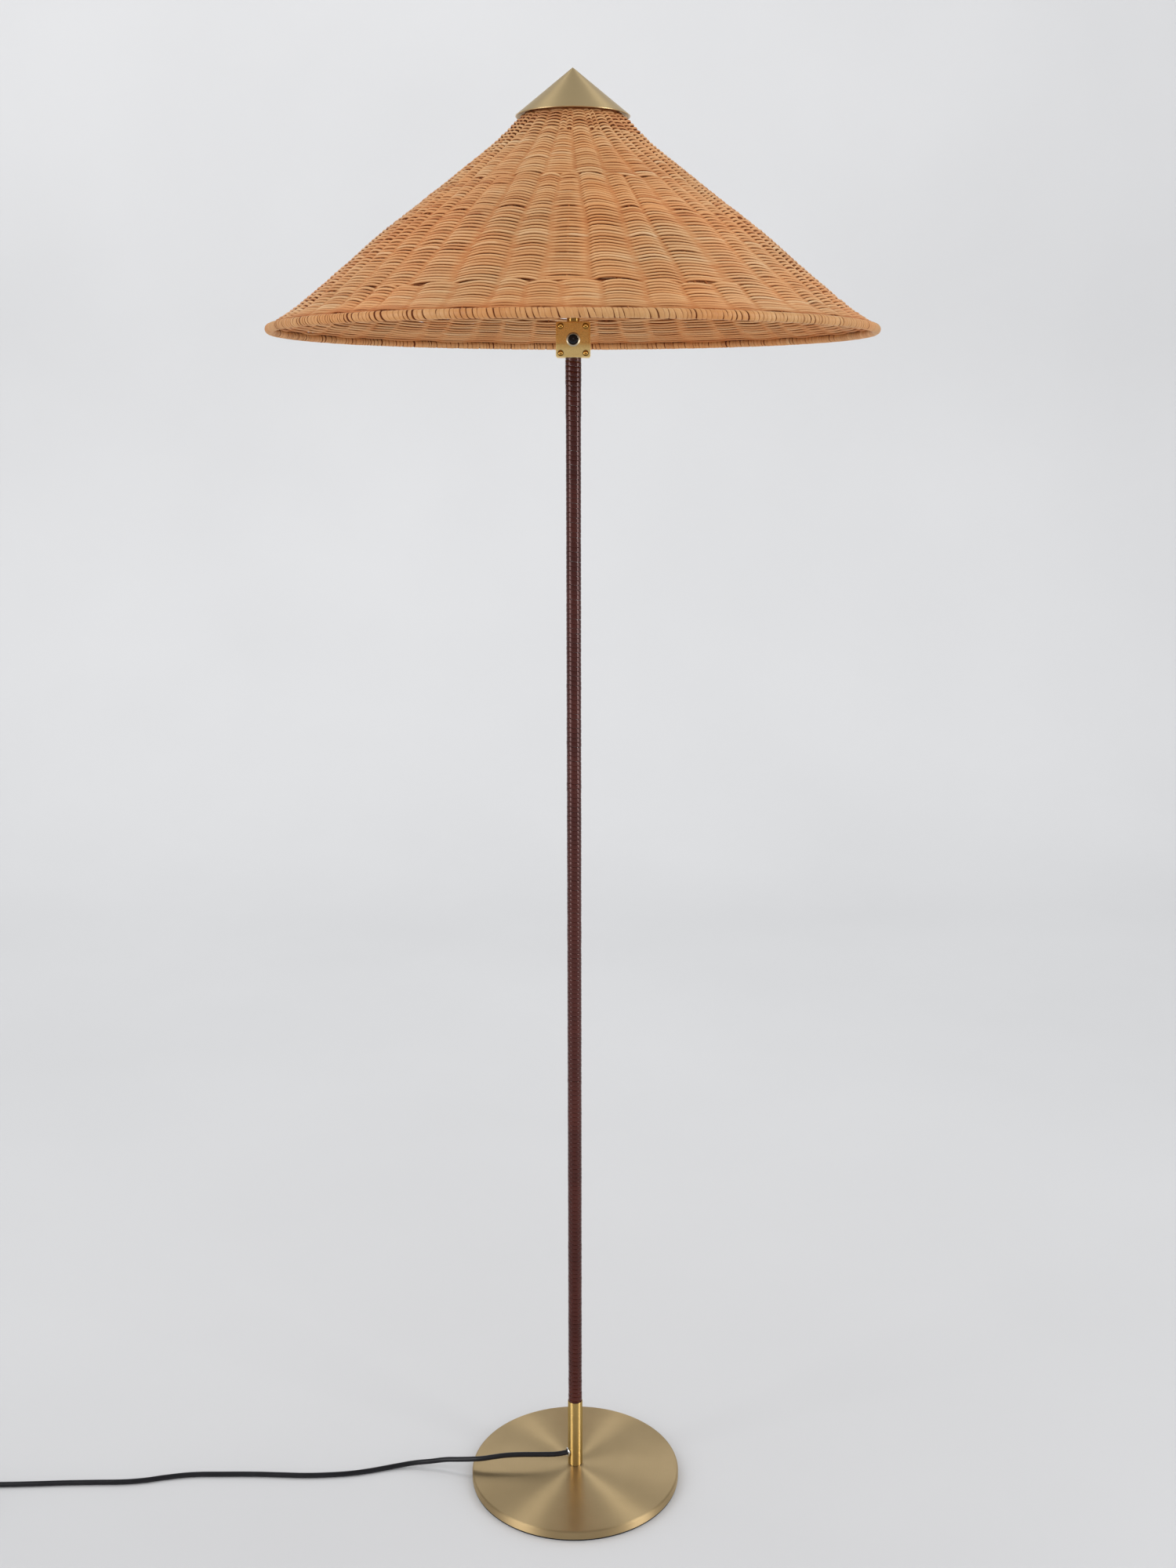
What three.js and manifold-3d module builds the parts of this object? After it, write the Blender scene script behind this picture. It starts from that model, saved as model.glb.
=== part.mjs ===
// Floor lamp with a woven rattan shade, a leather-wrapped pole and satin brass fittings.
// Millimetres, +Z up. The origin is the centre of the base's underside, on the floor.
// The switch block's front faces -Y, the cord leaves towards -X.
import * as THREE from 'three';
import { mergeVertices } from 'three/addons/utils/BufferGeometryUtils.js';
import Module from 'manifold-3d';

const wasm = await Module();
wasm.setup();

// ---------------------------------------------------------------- driving dimensions
const BASE_R = 118;            // base disc
const BASE_EDGE_Z = 11.0;      // top of the base's edge
const BASE_TOP_Z = 14.8;       // top of the base at its centre
const PAD_R = 117.4;           // floor pad
const PAD_T = 1.5;
const COVER_T = 1.2;           // spun brass sheet of the base
const SLEEVE_R = 8.2;          // brass sleeve at the foot of the pole
const SLEEVE_TOP = 94.7;
const EXIT_Z = 30.4;           // height of the cord's eyelet
const EXIT_ANGLE = 22;         // degrees from -X towards the front
const POLE_R = 6.0;            // steel tube inside the leather
const POLE_BORE = 4.8;
const WRAP_R = 7.6;            // outside of the leather wrap
const BLOCK = 34;              // square face of the switch block
const BLOCK_Z = 1262.4;        // centre of the switch block
const BLOCK_FRONT = -14;       // front face of the cover plate
const BLOCK_BACK = 14;
const PLATE_T = 2.0;
const SCREW_X = 12.3;          // cover screws, half spacings
const SCREW_Z = 12.9;
const BUTTON_R = 4.7;
const BUTTON_TRAVEL = 1.8;
const COLLAR_R = 6.85;          // nickel collar round the button
const COLLAR_SHANK = 5.45;
const NECK_R = 6.3;            // brass neck above the block
const NECK_TOP = 1312;
const HARP_HALF = 47;          // half width of the harp
const HARP_TOP = 1459;
const HARP_WIRE_R = 2.0;
const HUB_Z = 1465.3;          // underside of the shade's hub
const SHADE_R = 300;           // outside of the shade's rim
const RIM_Z = 1270;            // centre of the rim hoop
const RIM_R = 4.5;             // wrapped hoop, section radius
const WEAVE_T = 4.5;           // thickness of the woven wall
// how far the wall dips inside a straight cone: [distance down the slope from its top edge, depth]
const WEAVE_DIP = [[0, 0], [7, 0.6], [14, 1.7], [24, 2.8], [36, 3.1], [75, 2.3], [110, 2.0], [150, 1.0], [178, 0.3], [222, 2.0], [250, 2.8],
  [290, 2.8], [302, 1.5]];
const CAP_R = 55.5;            // cone cap
const CAP_LIP_Z = 1469.0;
const CAP_EDGE_Z = 1470.6;
const APEX_Z = 1515.0;
const CORD_R = 2.8;
const COIL_C = [-712, -68.8];  // centre of the coil of spare cord
const COIL_RO = 48.0;
const COIL_RI = 19.6;
const COIL_Z0 = 0.9;
const COIL_Z1 = 12.3;

// ---------------------------------------------------------------- helpers
const clean = (geom) => {
  // keep positions only, merge shared vertices, drop collapsed faces, face outwards
  const g = geom.index ? geom.toNonIndexed() : geom.clone();
  for (const n of Object.keys(g.attributes)) if (n !== 'position') g.deleteAttribute(n);
  g.morphAttributes = {};
  const m = mergeVertices(g, 1e-4);
  const p = m.attributes.position;
  const src = m.index.array;
  const keep = [];
  let vol = 0;
  for (let i = 0; i < src.length; i += 3) {
    const [a, b, c] = [src[i], src[i + 1], src[i + 2]];
    if (a === b || b === c || c === a) continue;
    keep.push(a, b, c);
    const A = new THREE.Vector3().fromBufferAttribute(p, a);
    const B = new THREE.Vector3().fromBufferAttribute(p, b);
    const C = new THREE.Vector3().fromBufferAttribute(p, c);
    vol += A.dot(B.cross(C)) / 6;
  }
  if (vol < 0) for (let i = 0; i < keep.length; i += 3) [keep[i + 1], keep[i + 2]] = [keep[i + 2], keep[i + 1]];
  const out = new THREE.BufferGeometry();
  out.setAttribute('position', new THREE.BufferAttribute(new Float32Array(p.array), 3));
  out.setIndex(keep);
  return out;
};
const toSolid = (geom) => {
  const g = clean(geom);
  return new wasm.Manifold(new wasm.Mesh({
    numProp: 3,
    vertProperties: new Float32Array(g.attributes.position.array),
    triVerts: new Uint32Array(g.index.array),
  }));
};
const fromSolid = (solid) => {
  const m = solid.getMesh();
  const g = new THREE.BufferGeometry();
  g.setAttribute('position', new THREE.BufferAttribute(new Float32Array(m.vertProperties), 3));
  g.setIndex(Array.from(m.triVerts));
  return g;
};
const cut = (geom, ...tools) => fromSolid(tools.reduce((s, t) => s.subtract(toSolid(t)), toSolid(geom)));
const join = (geom, ...more) => fromSolid(more.reduce((s, t) => s.add(toSolid(t)), toSolid(geom)));

// profile of [radius, height] pairs turned about Z; closed = the profile returns to its first point
const turned = (profile, seg = 48, closed = false) => {
  const pts = profile.map(([r, z]) => new THREE.Vector2(r, z));
  if (closed) pts.push(pts[0].clone());
  return clean(new THREE.LatheGeometry(pts, seg).rotateX(Math.PI / 2));
};
// the same, about an axis along -Y (height runs towards the front)
const turnedFront = (profile, seg = 32, closed = false) => turned(profile, seg, closed).rotateX(Math.PI / 2);
const box = (sx, sy, sz, x = 0, y = 0, z = 0) => new THREE.BoxGeometry(sx, sy, sz).translate(x, y, z);
const rod = (r, h, seg = 32) => new THREE.CylinderGeometry(r, r, h, seg).rotateX(Math.PI / 2);
const rounded = (w, h, r) => {
  const s = new THREE.Shape();
  const x = w / 2, y = h / 2;
  s.moveTo(-x + r, -y);
  s.lineTo(x - r, -y); s.absarc(x - r, -y + r, r, -Math.PI / 2, 0, false);
  s.lineTo(x, y - r); s.absarc(x - r, y - r, r, 0, Math.PI / 2, false);
  s.lineTo(-x + r, y); s.absarc(-x + r, y - r, r, Math.PI / 2, Math.PI, false);
  s.lineTo(-x, -y + r); s.absarc(-x + r, -y + r, r, Math.PI, 1.5 * Math.PI, false);
  return s;
};
// rounded square in the XZ plane, from y0 to y1
const slabFront = (w, h, r, y0, y1) => clean(
  new THREE.ExtrudeGeometry(rounded(w, h, r), { depth: y1 - y0, bevelEnabled: false, curveSegments: 3 })
    .rotateX(Math.PI / 2).translate(0, y1, 0));
// a curve whose steps are its own points, so bends get more of them than straight runs
class StepCurve extends THREE.Curve {
  constructor(points) { super(); this.p = points; }
  getPoint(t, target = new THREE.Vector3()) {
    const n = this.p.length - 1;
    const u = Math.min(Math.max(t, 0), 1) * n;
    const i = Math.min(Math.floor(u), n - 1);
    return target.copy(this.p[i]).lerp(this.p[i + 1], u - i);
  }
  getPointAt(u, target) { return this.getPoint(u, target); }
  getTangent(t, target = new THREE.Vector3()) {
    const n = this.p.length - 1;
    const i = Math.round(Math.min(Math.max(t, 0), 1) * n);
    const a = this.p[Math.max(i - 1, 0)], b = this.p[Math.min(i + 1, n)];
    return target.copy(b).sub(a).normalize();
  }
  getTangentAt(u, target) { return this.getTangent(u, target); }
}
const ring = (r, seg) => {
  const s = new THREE.Shape();
  for (let i = 0; i < seg; i++) {
    const a = (i / seg) * 2 * Math.PI;
    if (i === 0) s.moveTo(r, 0); else s.lineTo(r * Math.cos(a), r * Math.sin(a));
  }
  s.closePath();
  return s;
};
const tube = (points, r, seg) => clean(new THREE.ExtrudeGeometry(ring(r, seg),
  { steps: points.length - 1, bevelEnabled: false, extrudePath: new StepCurve(points) }));
const smooth = (points, steps) => new THREE.CatmullRomCurve3(points, false, 'centripetal').getSpacedPoints(steps);
const V = (x, y, z) => new THREE.Vector3(x, y, z);

// ---------------------------------------------------------------- finishes
const finish = (color, roughness, metalness) => ({ color, roughness, metalness });
const BRASS = finish(0xb59a62, 0.34, 1.0);
const BRASS_BRIGHT = finish(0xc8a660, 0.25, 1.0);
const STEEL = finish(0x9a9a98, 0.4, 1.0);
const NICKEL = finish(0xc9c9c6, 0.2, 1.0);
const IRON = finish(0x3c3c3e, 0.7, 0.8);
const LEATHER = finish(0x4b2823, 0.42, 0.0);
const RATTAN = finish(0xc98f55, 0.6, 0.0);
const CANE = finish(0xc9a061, 0.5, 0.0);
const RUBBER = finish(0x17171a, 0.75, 0.0);
const PVC = finish(0x151517, 0.45, 0.0);
const PLASTIC = finish(0x121214, 0.3, 0.0);
const PORCELAIN = finish(0xe6e2d8, 0.35, 0.0);
const OPAL = finish(0xf2efe8, 0.35, 0.0);

const lamp = new THREE.Group();
const put = (parent, name, geometry, f) => {
  const g = clean(geometry);
  g.computeVertexNormals();
  const mesh = new THREE.Mesh(g, new THREE.MeshStandardMaterial({ ...f, flatShading: true }));
  mesh.name = name;
  parent.add(mesh);
  return mesh;
};

// ---------------------------------------------------------------- base
const base = new THREE.Group();
lamp.add(base);
const dome = (r, drop = 0) => BASE_EDGE_Z + (BASE_TOP_Z - BASE_EDGE_Z) * (1 - (r / (BASE_R - 0.8)) ** 2) - drop;
const domeRadii = [117.2, 88, 50, 12];

// ring of soft rubber glued under the weight, open in the middle to reach the nut
put(base, 'floor_pad', turned([[20, 0], [PAD_R, 0], [PAD_R, PAD_T], [20, PAD_T]], 40, true), RUBBER);

// spun brass cover: wall, small chamfer, shallow dome, hole for the threaded tube
{
  const outer = [[BASE_R, 1.8], [BASE_R, 10.1], ...domeRadii.map((r) => [r, dome(r)]), [5.5, dome(5.5)]];
  const inner = [[5.5, dome(5.5, COVER_T)], ...domeRadii.slice(1).reverse().map((r) => [r, dome(r, COVER_T)]),
    [BASE_R - COVER_T, 9.4], [BASE_R - COVER_T, 1.8]];
  put(base, 'base_cover', turned([...outer, ...inner], 40, true), BRASS);
}
// cast weight inside the cover, with a recess below for the nut and washer
put(base, 'base_weight', turned([
  [17, 1.8], [116.4, 1.8], [116.4, 9.0], [96, dome(96, 1.6)], [60, dome(60, 1.6)], [5.6, dome(5.6, 1.9)], [5.6, 9.2], [17, 9.2]],
40, true), IRON);
// hollow threaded tube that clamps sleeve, cover and weight together
put(base, 'base_threaded_tube', turned([[3.6, 3.0], [5.0, 3.0], [5.0, 23.4], [3.6, 23.4]], 16, true), STEEL);
put(base, 'base_washer', turned([[5.4, 7.2], [14, 7.2], [14, 8.9], [5.4, 8.9]], 20, true), STEEL);
put(base, 'base_nut', cut(new THREE.CylinderGeometry(8.1, 8.1, 3.6, 6).rotateX(Math.PI / 2).translate(0, 0, 5.1),
  rod(5.3, 6, 16).translate(0, 0, 5.1)), STEEL);

// ---------------------------------------------------------------- pole
const pole = new THREE.Group();
lamp.add(pole);
const ex = V(-Math.cos(THREE.MathUtils.degToRad(EXIT_ANGLE)), -Math.sin(THREE.MathUtils.degToRad(EXIT_ANGLE)), 0);
const exitYaw = Math.atan2(ex.y, ex.x);
// turned about Z, then laid along the eyelet's outward direction
const alongExit = (g) => g.rotateY(Math.PI / 2).rotateZ(exitYaw).translate(0, 0, EXIT_Z);

// brass sleeve, threaded at its foot, counterbored at its top where the leather enters
put(pole, 'pole_sleeve', cut(turned([
  [5.25, 15.1], [SLEEVE_R - 0.5, 15.1], [SLEEVE_R, 15.6], [SLEEVE_R, SLEEVE_TOP - 0.2], [SLEEVE_R - 0.15, SLEEVE_TOP],
  [7.85, SLEEVE_TOP], [7.85, 86], [6.3, 86], [6.3, 24.6], [5.25, 24.6]], 24, true),
alongExit(rod(3.6, 8, 16).translate(0, 0, 7.6))), BRASS);
put(pole, 'pole_tube', turned([[POLE_BORE, 44], [POLE_R, 44], [POLE_R, 1249.4], [POLE_BORE, 1249.4]], 24, true), STEEL);
put(pole, 'leather_wrap', turned([[6.25, 87], [WRAP_R, 87], [WRAP_R, 1245.1], [6.25, 1245.1]], 24, true), LEATHER);
// nickel eyelet pressed into the sleeve's side hole, the cord's way out
put(pole, 'cord_eyelet', alongExit(turned([
  [3.15, 6.6], [3.42, 6.6], [3.42, 8.45], [5.0, 8.45], [5.15, 9.0], [4.5, 10.0], [3.7, 10.2], [3.15, 9.6]], 20, true)), NICKEL);

// ---------------------------------------------------------------- switch block
const block = new THREE.Group();
block.position.set(0, 0, BLOCK_Z);
lamp.add(block);
const half = BLOCK / 2;
const screwAt = [[-SCREW_X, SCREW_Z], [SCREW_X, SCREW_Z], [-SCREW_X, -SCREW_Z], [SCREW_X, -SCREW_Z]];
// solid brass block bored from the front, with holes for the pole below and the neck above
put(block, 'switch_box', cut(slabFront(BLOCK, BLOCK, 1.5, BLOCK_FRONT + PLATE_T + 0.3, BLOCK_BACK),
  new THREE.CylinderGeometry(12.5, 12.5, 30, 28).translate(0, 11 - 15, 0),
  rod(6.3, 10, 24).translate(0, 0, -half),
  rod(6.6, 10, 24).translate(0, 0, half),
  ...screwAt.map(([x, z]) => new THREE.CylinderGeometry(1.55, 1.55, 12, 10).translate(x, BLOCK_FRONT + 7, z))), BRASS);
// front plate, bored for the button's collar and countersunk for four screws
put(block, 'switch_plate', cut(slabFront(BLOCK, BLOCK, 1.5, BLOCK_FRONT, BLOCK_FRONT + PLATE_T),
  turnedFront([[0, 10], [COLLAR_SHANK + 0.3, 10], [COLLAR_SHANK + 0.3, 15], [0, 15]], 24),
  ...screwAt.map(([x, z]) => turnedFront([[0, 10], [1.6, 10], [1.6, 12.55], [3.0, 14.0], [4.0, 15.0], [0, 15.0]], 12)
    .translate(x, 0, z))), BRASS);
screwAt.forEach(([x, z], i) => put(block, `plate_screw_${i + 1}`, cut(
  turnedFront([[0, 4.2], [1.05, 4.2], [1.25, 4.6], [1.25, 12.3], [2.5, 13.55], [2.5, 13.8], [1.9, 14.35], [1.0, 14.6], [0, 14.65]], 12),
  new THREE.CylinderGeometry(0.95, 0.95, 1.6, 6).translate(0, -14.2, 0)).translate(x, 0, z), BRASS_BRIGHT));
// collar that holds the push switch in the plate, its rim standing proud round the button
put(block, 'button_collar', turnedFront([[BUTTON_R + 0.3, 12.1], [COLLAR_SHANK, 12.1], [COLLAR_SHANK, 14.05], [COLLAR_R, 14.05],
  [COLLAR_R, 14.2], [5.4, 15.25], [BUTTON_R + 0.3, 15.1]], 24, true), NICKEL);
// push switch behind the plate: body with a pocket for the button's flange and a bore for its plunger
put(block, 'switch_body', turnedFront([
  [0, 0.6], [11.9, 0.6], [11.9, 11.4], [7.0, 11.4], [7.0, 7.6], [2.6, 7.6], [2.6, 3.0], [0, 3.0]], 24), PLASTIC);
put(block, 'switch_button', turnedFront([
  [0, 6.0], [2.2, 6.0], [2.2, 10.0], [6.3, 10.0], [6.3, 11.5], [BUTTON_R, 11.5], [BUTTON_R, 14.4], [BUTTON_R - 0.6, 15.1],
  [BUTTON_R - 2, 15.4], [0, 15.5]], 24), PLASTIC);
for (const [s, n] of [[-1, 'left'], [1, 'right']]) {
  put(block, `switch_terminal_${n}`, box(3.2, 3.4, 0.8, s * 7.0, 1.4, 0), BRASS_BRIGHT);
  put(block, `switch_lead_${n}`, tube(smooth([V(s * 7.0, 1.6, -0.9), V(s * 6.8, 2.0, -3.2), V(s * 5.6, 2.4, -5.6),
    V(s * 3.6, 2.6, -7.2)], 6), 0.75, 6), PVC);
}
// neck that carries the lampholder
put(lamp, 'neck_tube', turned([[5.2, 1275.4], [NECK_R, 1275.4], [NECK_R, NECK_TOP], [5.2, NECK_TOP]], 24, true), BRASS);

// the cable inside: from the eyelet up the pole, past the switch, to the lampholder
{
  const bend = smooth([ex.clone().multiplyScalar(4.9).setZ(EXIT_Z), ex.clone().multiplyScalar(3.9).setZ(EXIT_Z + 0.3),
    ex.clone().multiplyScalar(2.2).setZ(EXIT_Z + 3.6), ex.clone().multiplyScalar(0.9).setZ(EXIT_Z + 9), V(0, 0, EXIT_Z + 18)], 8);
  const run = [V(0, 0, 120), V(0, 0, 660), V(0, 0, 1180)];
  const pass = smooth([V(0, 0, 1215), V(0, 0.7, 1230), V(0, 2.4, 1244), V(0, 2.75, 1256), V(0, 2.75, 1268), V(0, 2.2, 1280),
    V(0, 0.6, 1292), V(0, 0, 1303), V(0, 0, 1326)], 16);
  put(lamp, 'inner_cable', tube([...bend, ...run, ...pass], 1.8, 8), PVC);
}

// ---------------------------------------------------------------- lampholder and harp
const holder = new THREE.Group();
lamp.add(holder);
put(holder, 'harp_saddle', cut(clean(new THREE.ExtrudeGeometry(rounded(52, 12, 5.9), { depth: 2, bevelEnabled: false, curveSegments: 6 })
  .translate(0, 0, NECK_TOP + 0.3)), rod(5.2, 8, 20).translate(0, 0, NECK_TOP + 1.3)), BRASS);
put(holder, 'holder_nipple', turned([[3.2, 1299], [4.85, 1299], [4.85, 1324.5], [3.2, 1324.5]], 16, true), BRASS_BRIGHT);
put(holder, 'holder_nut', cut(new THREE.CylinderGeometry(8.1, 8.1, 2.6, 6).rotateX(Math.PI / 2).translate(0, 0, 1315.9),
  rod(5.15, 6, 16).translate(0, 0, 1315.9)), BRASS_BRIGHT);
put(holder, 'holder_cup', turned([
  [5.2, 1317.6], [10.5, 1317.6], [15.6, 1322.2], [17.6, 1327], [17.6, 1337.6], [16.4, 1337.6], [16.4, 1327.4], [14.8, 1323.4],
  [10.0, 1319.0], [5.2, 1319.0]], 24, true), BRASS);
put(holder, 'holder_insert', turned([[0, 1327.6], [15.8, 1327.6], [15.8, 1340.0], [0, 1340.0]], 24), PORCELAIN);
put(holder, 'centre_contact', turned([[0, 1340.3], [3.2, 1340.3], [2.6, 1341.4], [0, 1341.4]], 12), BRASS_BRIGHT);
put(holder, 'screw_shell', turned([[13.7, 1340.3], [14.3, 1340.3], [14.3, 1364.0], [13.7, 1364.0]], 24, true), BRASS_BRIGHT);
put(holder, 'holder_skirt', turned([
  [16.4, 1337.9], [18.6, 1337.9], [19.6, 1339.5], [19.6, 1366.4], [18.9, 1367.2], [14.8, 1367.2], [14.8, 1365.4], [17.4, 1365.4],
  [17.4, 1340.4], [16.4, 1340.4]], 24, true), PLASTIC);
{
  const side = [[20.5, 1316.4], [22.5, 1323], [29, 1336], [38.5, 1352], [45, 1371], [HARP_HALF, 1390], [46, 1409], [41, 1427],
    [31.5, 1443], [18, 1454.2], [8, 1458.3], [0, HARP_TOP]];
  const right = side.map(([x, z]) => V(x, 0, z));
  const left = side.slice(0, -1).reverse().map(([x, z]) => V(-x, 0, z));
  put(holder, 'harp', tube(smooth([...right, ...left], 32), HARP_WIRE_R, 8), BRASS);
}
// turned seat and threaded stud on top of the harp, for the shade's hub and the cap
put(holder, 'harp_stud', turned([[0, 1461.3], [6.0, 1461.3], [6.0, 1465.0], [2.9, 1465.0], [2.9, 1482.2], [2.2, 1483.0], [0, 1483.0]], 20),
  BRASS_BRIGHT);

// ---------------------------------------------------------------- bulb
const bulb = new THREE.Group();
lamp.add(bulb);
put(bulb, 'bulb_cap', turned([[0, 1341.8], [4.6, 1341.8], [5.2, 1343.2], [11.0, 1346.2], [13.1, 1347.0], [13.1, 1365.0], [12.6, 1368.6],
  [0, 1368.6]], 24), NICKEL);
put(bulb, 'bulb_glass', turned([
  [12.8, 1368.9], [14.8, 1376], [24.0, 1397], [28.8, 1409], [30, 1420], [28.0, 1432.6], [20.6, 1444.6], [9, 1449.6], [0, 1450],
  [0, 1449], [8.7, 1448.6], [19.8, 1443.9], [27.0, 1432.3], [29, 1420], [27.8, 1409.3], [23.0, 1397.3], [13.8, 1376.3],
  [11.8, 1368.9], [12.8, 1368.9]], 24), OPAL);

// ---------------------------------------------------------------- shade
const shade = new THREE.Group();
lamp.add(shade);
// hub, three arms and the ring that carries the top of the weave: one welded steel frame
{
  const hub = turned([[3.3, HUB_Z], [9, HUB_Z], [9, HUB_Z + 2], [3.3, HUB_Z + 2]], 20, true);
  const wire = turned(Array.from({ length: 8 }, (_, i) => {
    const a = (i / 8) * 2 * Math.PI;
    return [48.5 + 1.8 * Math.cos(a), 1461.5 + 1.8 * Math.sin(a)];
  }), 32, true);
  const arms = [90, 210, 330].map((d) => tube([V(7.5, 0, HUB_Z + 0.6), V(20, 0, HUB_Z - 0.2), V(48.3, 0, 1461.6)], 1.3, 8)
    .rotateZ(THREE.MathUtils.degToRad(d)));
  put(shade, 'shade_spider', join(hub, wire, ...arms), BRASS);
}
// woven cone: a thin wall with the true outer shape, open at both ends
{
  const a = V(294.0, 0, 1275.6), b = V(49.96, 0, 1469.62);
  const t = b.clone().sub(a).normalize();
  const n = V(t.z, 0, -t.x);              // outwards and up
  const outside = WEAVE_DIP.map(([s, dip]) => b.clone().addScaledVector(t, -s).addScaledVector(n, -dip)).concat([a]);
  const inside = outside.map((p) => p.clone().addScaledVector(n, -WEAVE_T)).reverse();
  put(shade, 'shade_weave', turned([...outside, ...inside].map((p) => [p.x, p.z]), 40, true), RATTAN);
}
// rim: a rattan hoop, and the cane bound round it, open on the side where the stakes enter
{
  const hoopR = SHADE_R - RIM_R;
  put(shade, 'rim_hoop', turned(Array.from({ length: 6 }, (_, i) => {
    const a = (i / 6) * 2 * Math.PI;
    return [hoopR + 2.7 * Math.cos(a), RIM_Z + 2.7 * Math.sin(a)];
  }), 40, true), RATTAN);
  const a0 = THREE.MathUtils.degToRad(131 + 9), a1 = THREE.MathUtils.degToRad(131 - 9 + 360);
  const arc = (r, from, to, k) => Array.from({ length: k + 1 }, (_, i) => {
    const a = from + (to - from) * (i / k);
    return [hoopR + r * Math.cos(a), RIM_Z + r * Math.sin(a)];
  });
  put(shade, 'rim_binding', turned([...arc(RIM_R, a0, a1, 6), ...arc(3.6, a1, a0, 5)], 40, true), CANE);
}

// ---------------------------------------------------------------- cap
const cap = new THREE.Group();
lamp.add(cap);
const coneZ = (r, off = 0) => APEX_Z - ((APEX_Z - CAP_EDGE_Z) / CAP_R) * r - off;
put(cap, 'cap_cone', turned([
  [CAP_R - 1, CAP_LIP_Z], [CAP_R, CAP_LIP_Z], [CAP_R, CAP_EDGE_Z], [0, APEX_Z], [0, coneZ(0, 1.28)], [CAP_R - 1, coneZ(CAP_R - 1, 1.28)],
  [CAP_R - 1, CAP_LIP_Z]], 48), BRASS);
put(cap, 'cap_boss', turned([
  [3.3, HUB_Z + 2.3], [8, HUB_Z + 2.3], [8, coneZ(8, 1.75)], [2, coneZ(2, 1.75)], [0, coneZ(2, 1.75)], [0, 1486], [3.3, 1486],
  [3.3, HUB_Z + 2.3]], 20), BRASS_BRIGHT);

// ---------------------------------------------------------------- cord
const cord = new THREE.Group();
lamp.add(cord);
const cordRoute = [
  ex.clone().multiplyScalar(6.0).setZ(EXIT_Z), ex.clone().multiplyScalar(10.5).setZ(EXIT_Z),
  V(-21.0, -6.4, 29.9), V(-40.5, -6.0, 29.0), V(-64.0, -4.4, 27.7), V(-79.8, -3.6, 26.2), V(-93.2, -3.6, 24.3), V(-106.5, -3.6, 22.1),
  V(-119.0, -1.2, 19.7), V(-134.8, 3.0, 16.5), V(-149.0, 7.2, 13.4), V(-167.2, 9.8, 9.4), V(-186.0, 11.8, 6.0), V(-204.4, 10.0, 3.8),
  V(-222.0, 5.8, 2.9), V(-240.3, 0.6, CORD_R), V(-258.0, -3.2, CORD_R), V(-275.5, -5.4, CORD_R), V(-308.5, -7.1, CORD_R),
  V(-337.9, -6.0, CORD_R), V(-367.9, -4.8, CORD_R), V(-404.3, -4.8, CORD_R), V(-441.1, -5.8, CORD_R), V(-469.4, -10.7, CORD_R),
  V(-490.4, -15.8, CORD_R), V(-511.2, -18.7, CORD_R), V(-547.6, -19.8, CORD_R), V(-583.0, -20.8, CORD_R), V(-618.9, -22.6, CORD_R),
  V(-655.2, -23.8, CORD_R), V(-687.6, -24.0, 3.0)];
put(cord, 'cord', tube(smooth(cordRoute, 52), CORD_R, 8), PVC);
// the spare length, wound in two flat layers
put(cord, 'cord_coil', turned([
  [COIL_RI + 2, COIL_Z0], [COIL_RO - 2, COIL_Z0], [COIL_RO, COIL_Z0 + 2], [COIL_RO, COIL_Z1 - 2], [COIL_RO - 2, COIL_Z1],
  [COIL_RI + 2, COIL_Z1], [COIL_RI, COIL_Z1 - 2], [COIL_RI, COIL_Z0 + 2]], 24, true).translate(COIL_C[0], COIL_C[1], 0), PVC);
// flat tie looped round the coil
put(cord, 'coil_tie', cut(box(30.8, 7, 13.4, 33.6, 0, 6.7), box(29.4, 9, 12.0, 33.65, 0, 6.6))
  .rotateZ(THREE.MathUtils.degToRad(-60)).translate(COIL_C[0], COIL_C[1], 0), RUBBER);
// tail of cord, strain relief, plug and its two pins, lying beside the coil
const TAIL_X = -757.0, TAIL_Y = -68.8, PLUG_Z = 6.85;
put(cord, 'cord_tail', tube(smooth([V(TAIL_X, TAIL_Y - 24.2, 8.9), V(TAIL_X, TAIL_Y - 34, 7.8), V(TAIL_X, TAIL_Y - 44, 7.0),
  V(TAIL_X, TAIL_Y - 49.7, PLUG_Z)], 5), CORD_R, 8), PVC);
const plug = new THREE.Group();
plug.position.set(TAIL_X, TAIL_Y - 50, PLUG_Z);
plug.rotation.x = Math.PI / 2;         // local +Z points to -Y, the way the pins point
cord.add(plug);
put(plug, 'plug_sleeve', turned([[0, 0], [3.7, 0], [4.9, 21.7], [0, 21.7]], 20), PVC);
put(plug, 'plug_body', clean(new THREE.ExtrudeGeometry((() => {
  const s = new THREE.Shape();
  s.moveTo(-7, 22); s.lineTo(7, 22); s.quadraticCurveTo(9, 36, 17.2, 42); s.lineTo(17.2, 58); s.lineTo(-17.2, 58); s.lineTo(-17.2, 42);
  s.quadraticCurveTo(-9, 36, -7, 22);
  return s;
})(), { depth: 11.3, bevelEnabled: true, bevelThickness: 1.2, bevelSize: 1.2, bevelOffset: -1.2, bevelSegments: 1, curveSegments: 6 })
  .translate(0, 0, -5.65).rotateX(Math.PI / 2)), PLASTIC);
for (const [s, n] of [[-1, 'left'], [1, 'right']]) {
  put(plug, `plug_pin_${n}`, turned([[0, 0], [2.0, 0], [2.0, 17.6], [1.2, 19], [0, 19]], 16).translate(s * 9.3, 0, 58.3), NICKEL);
}

export default lamp;
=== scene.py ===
import math

import bmesh
import bpy
import numpy as np
from mathutils import Matrix, Vector


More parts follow.
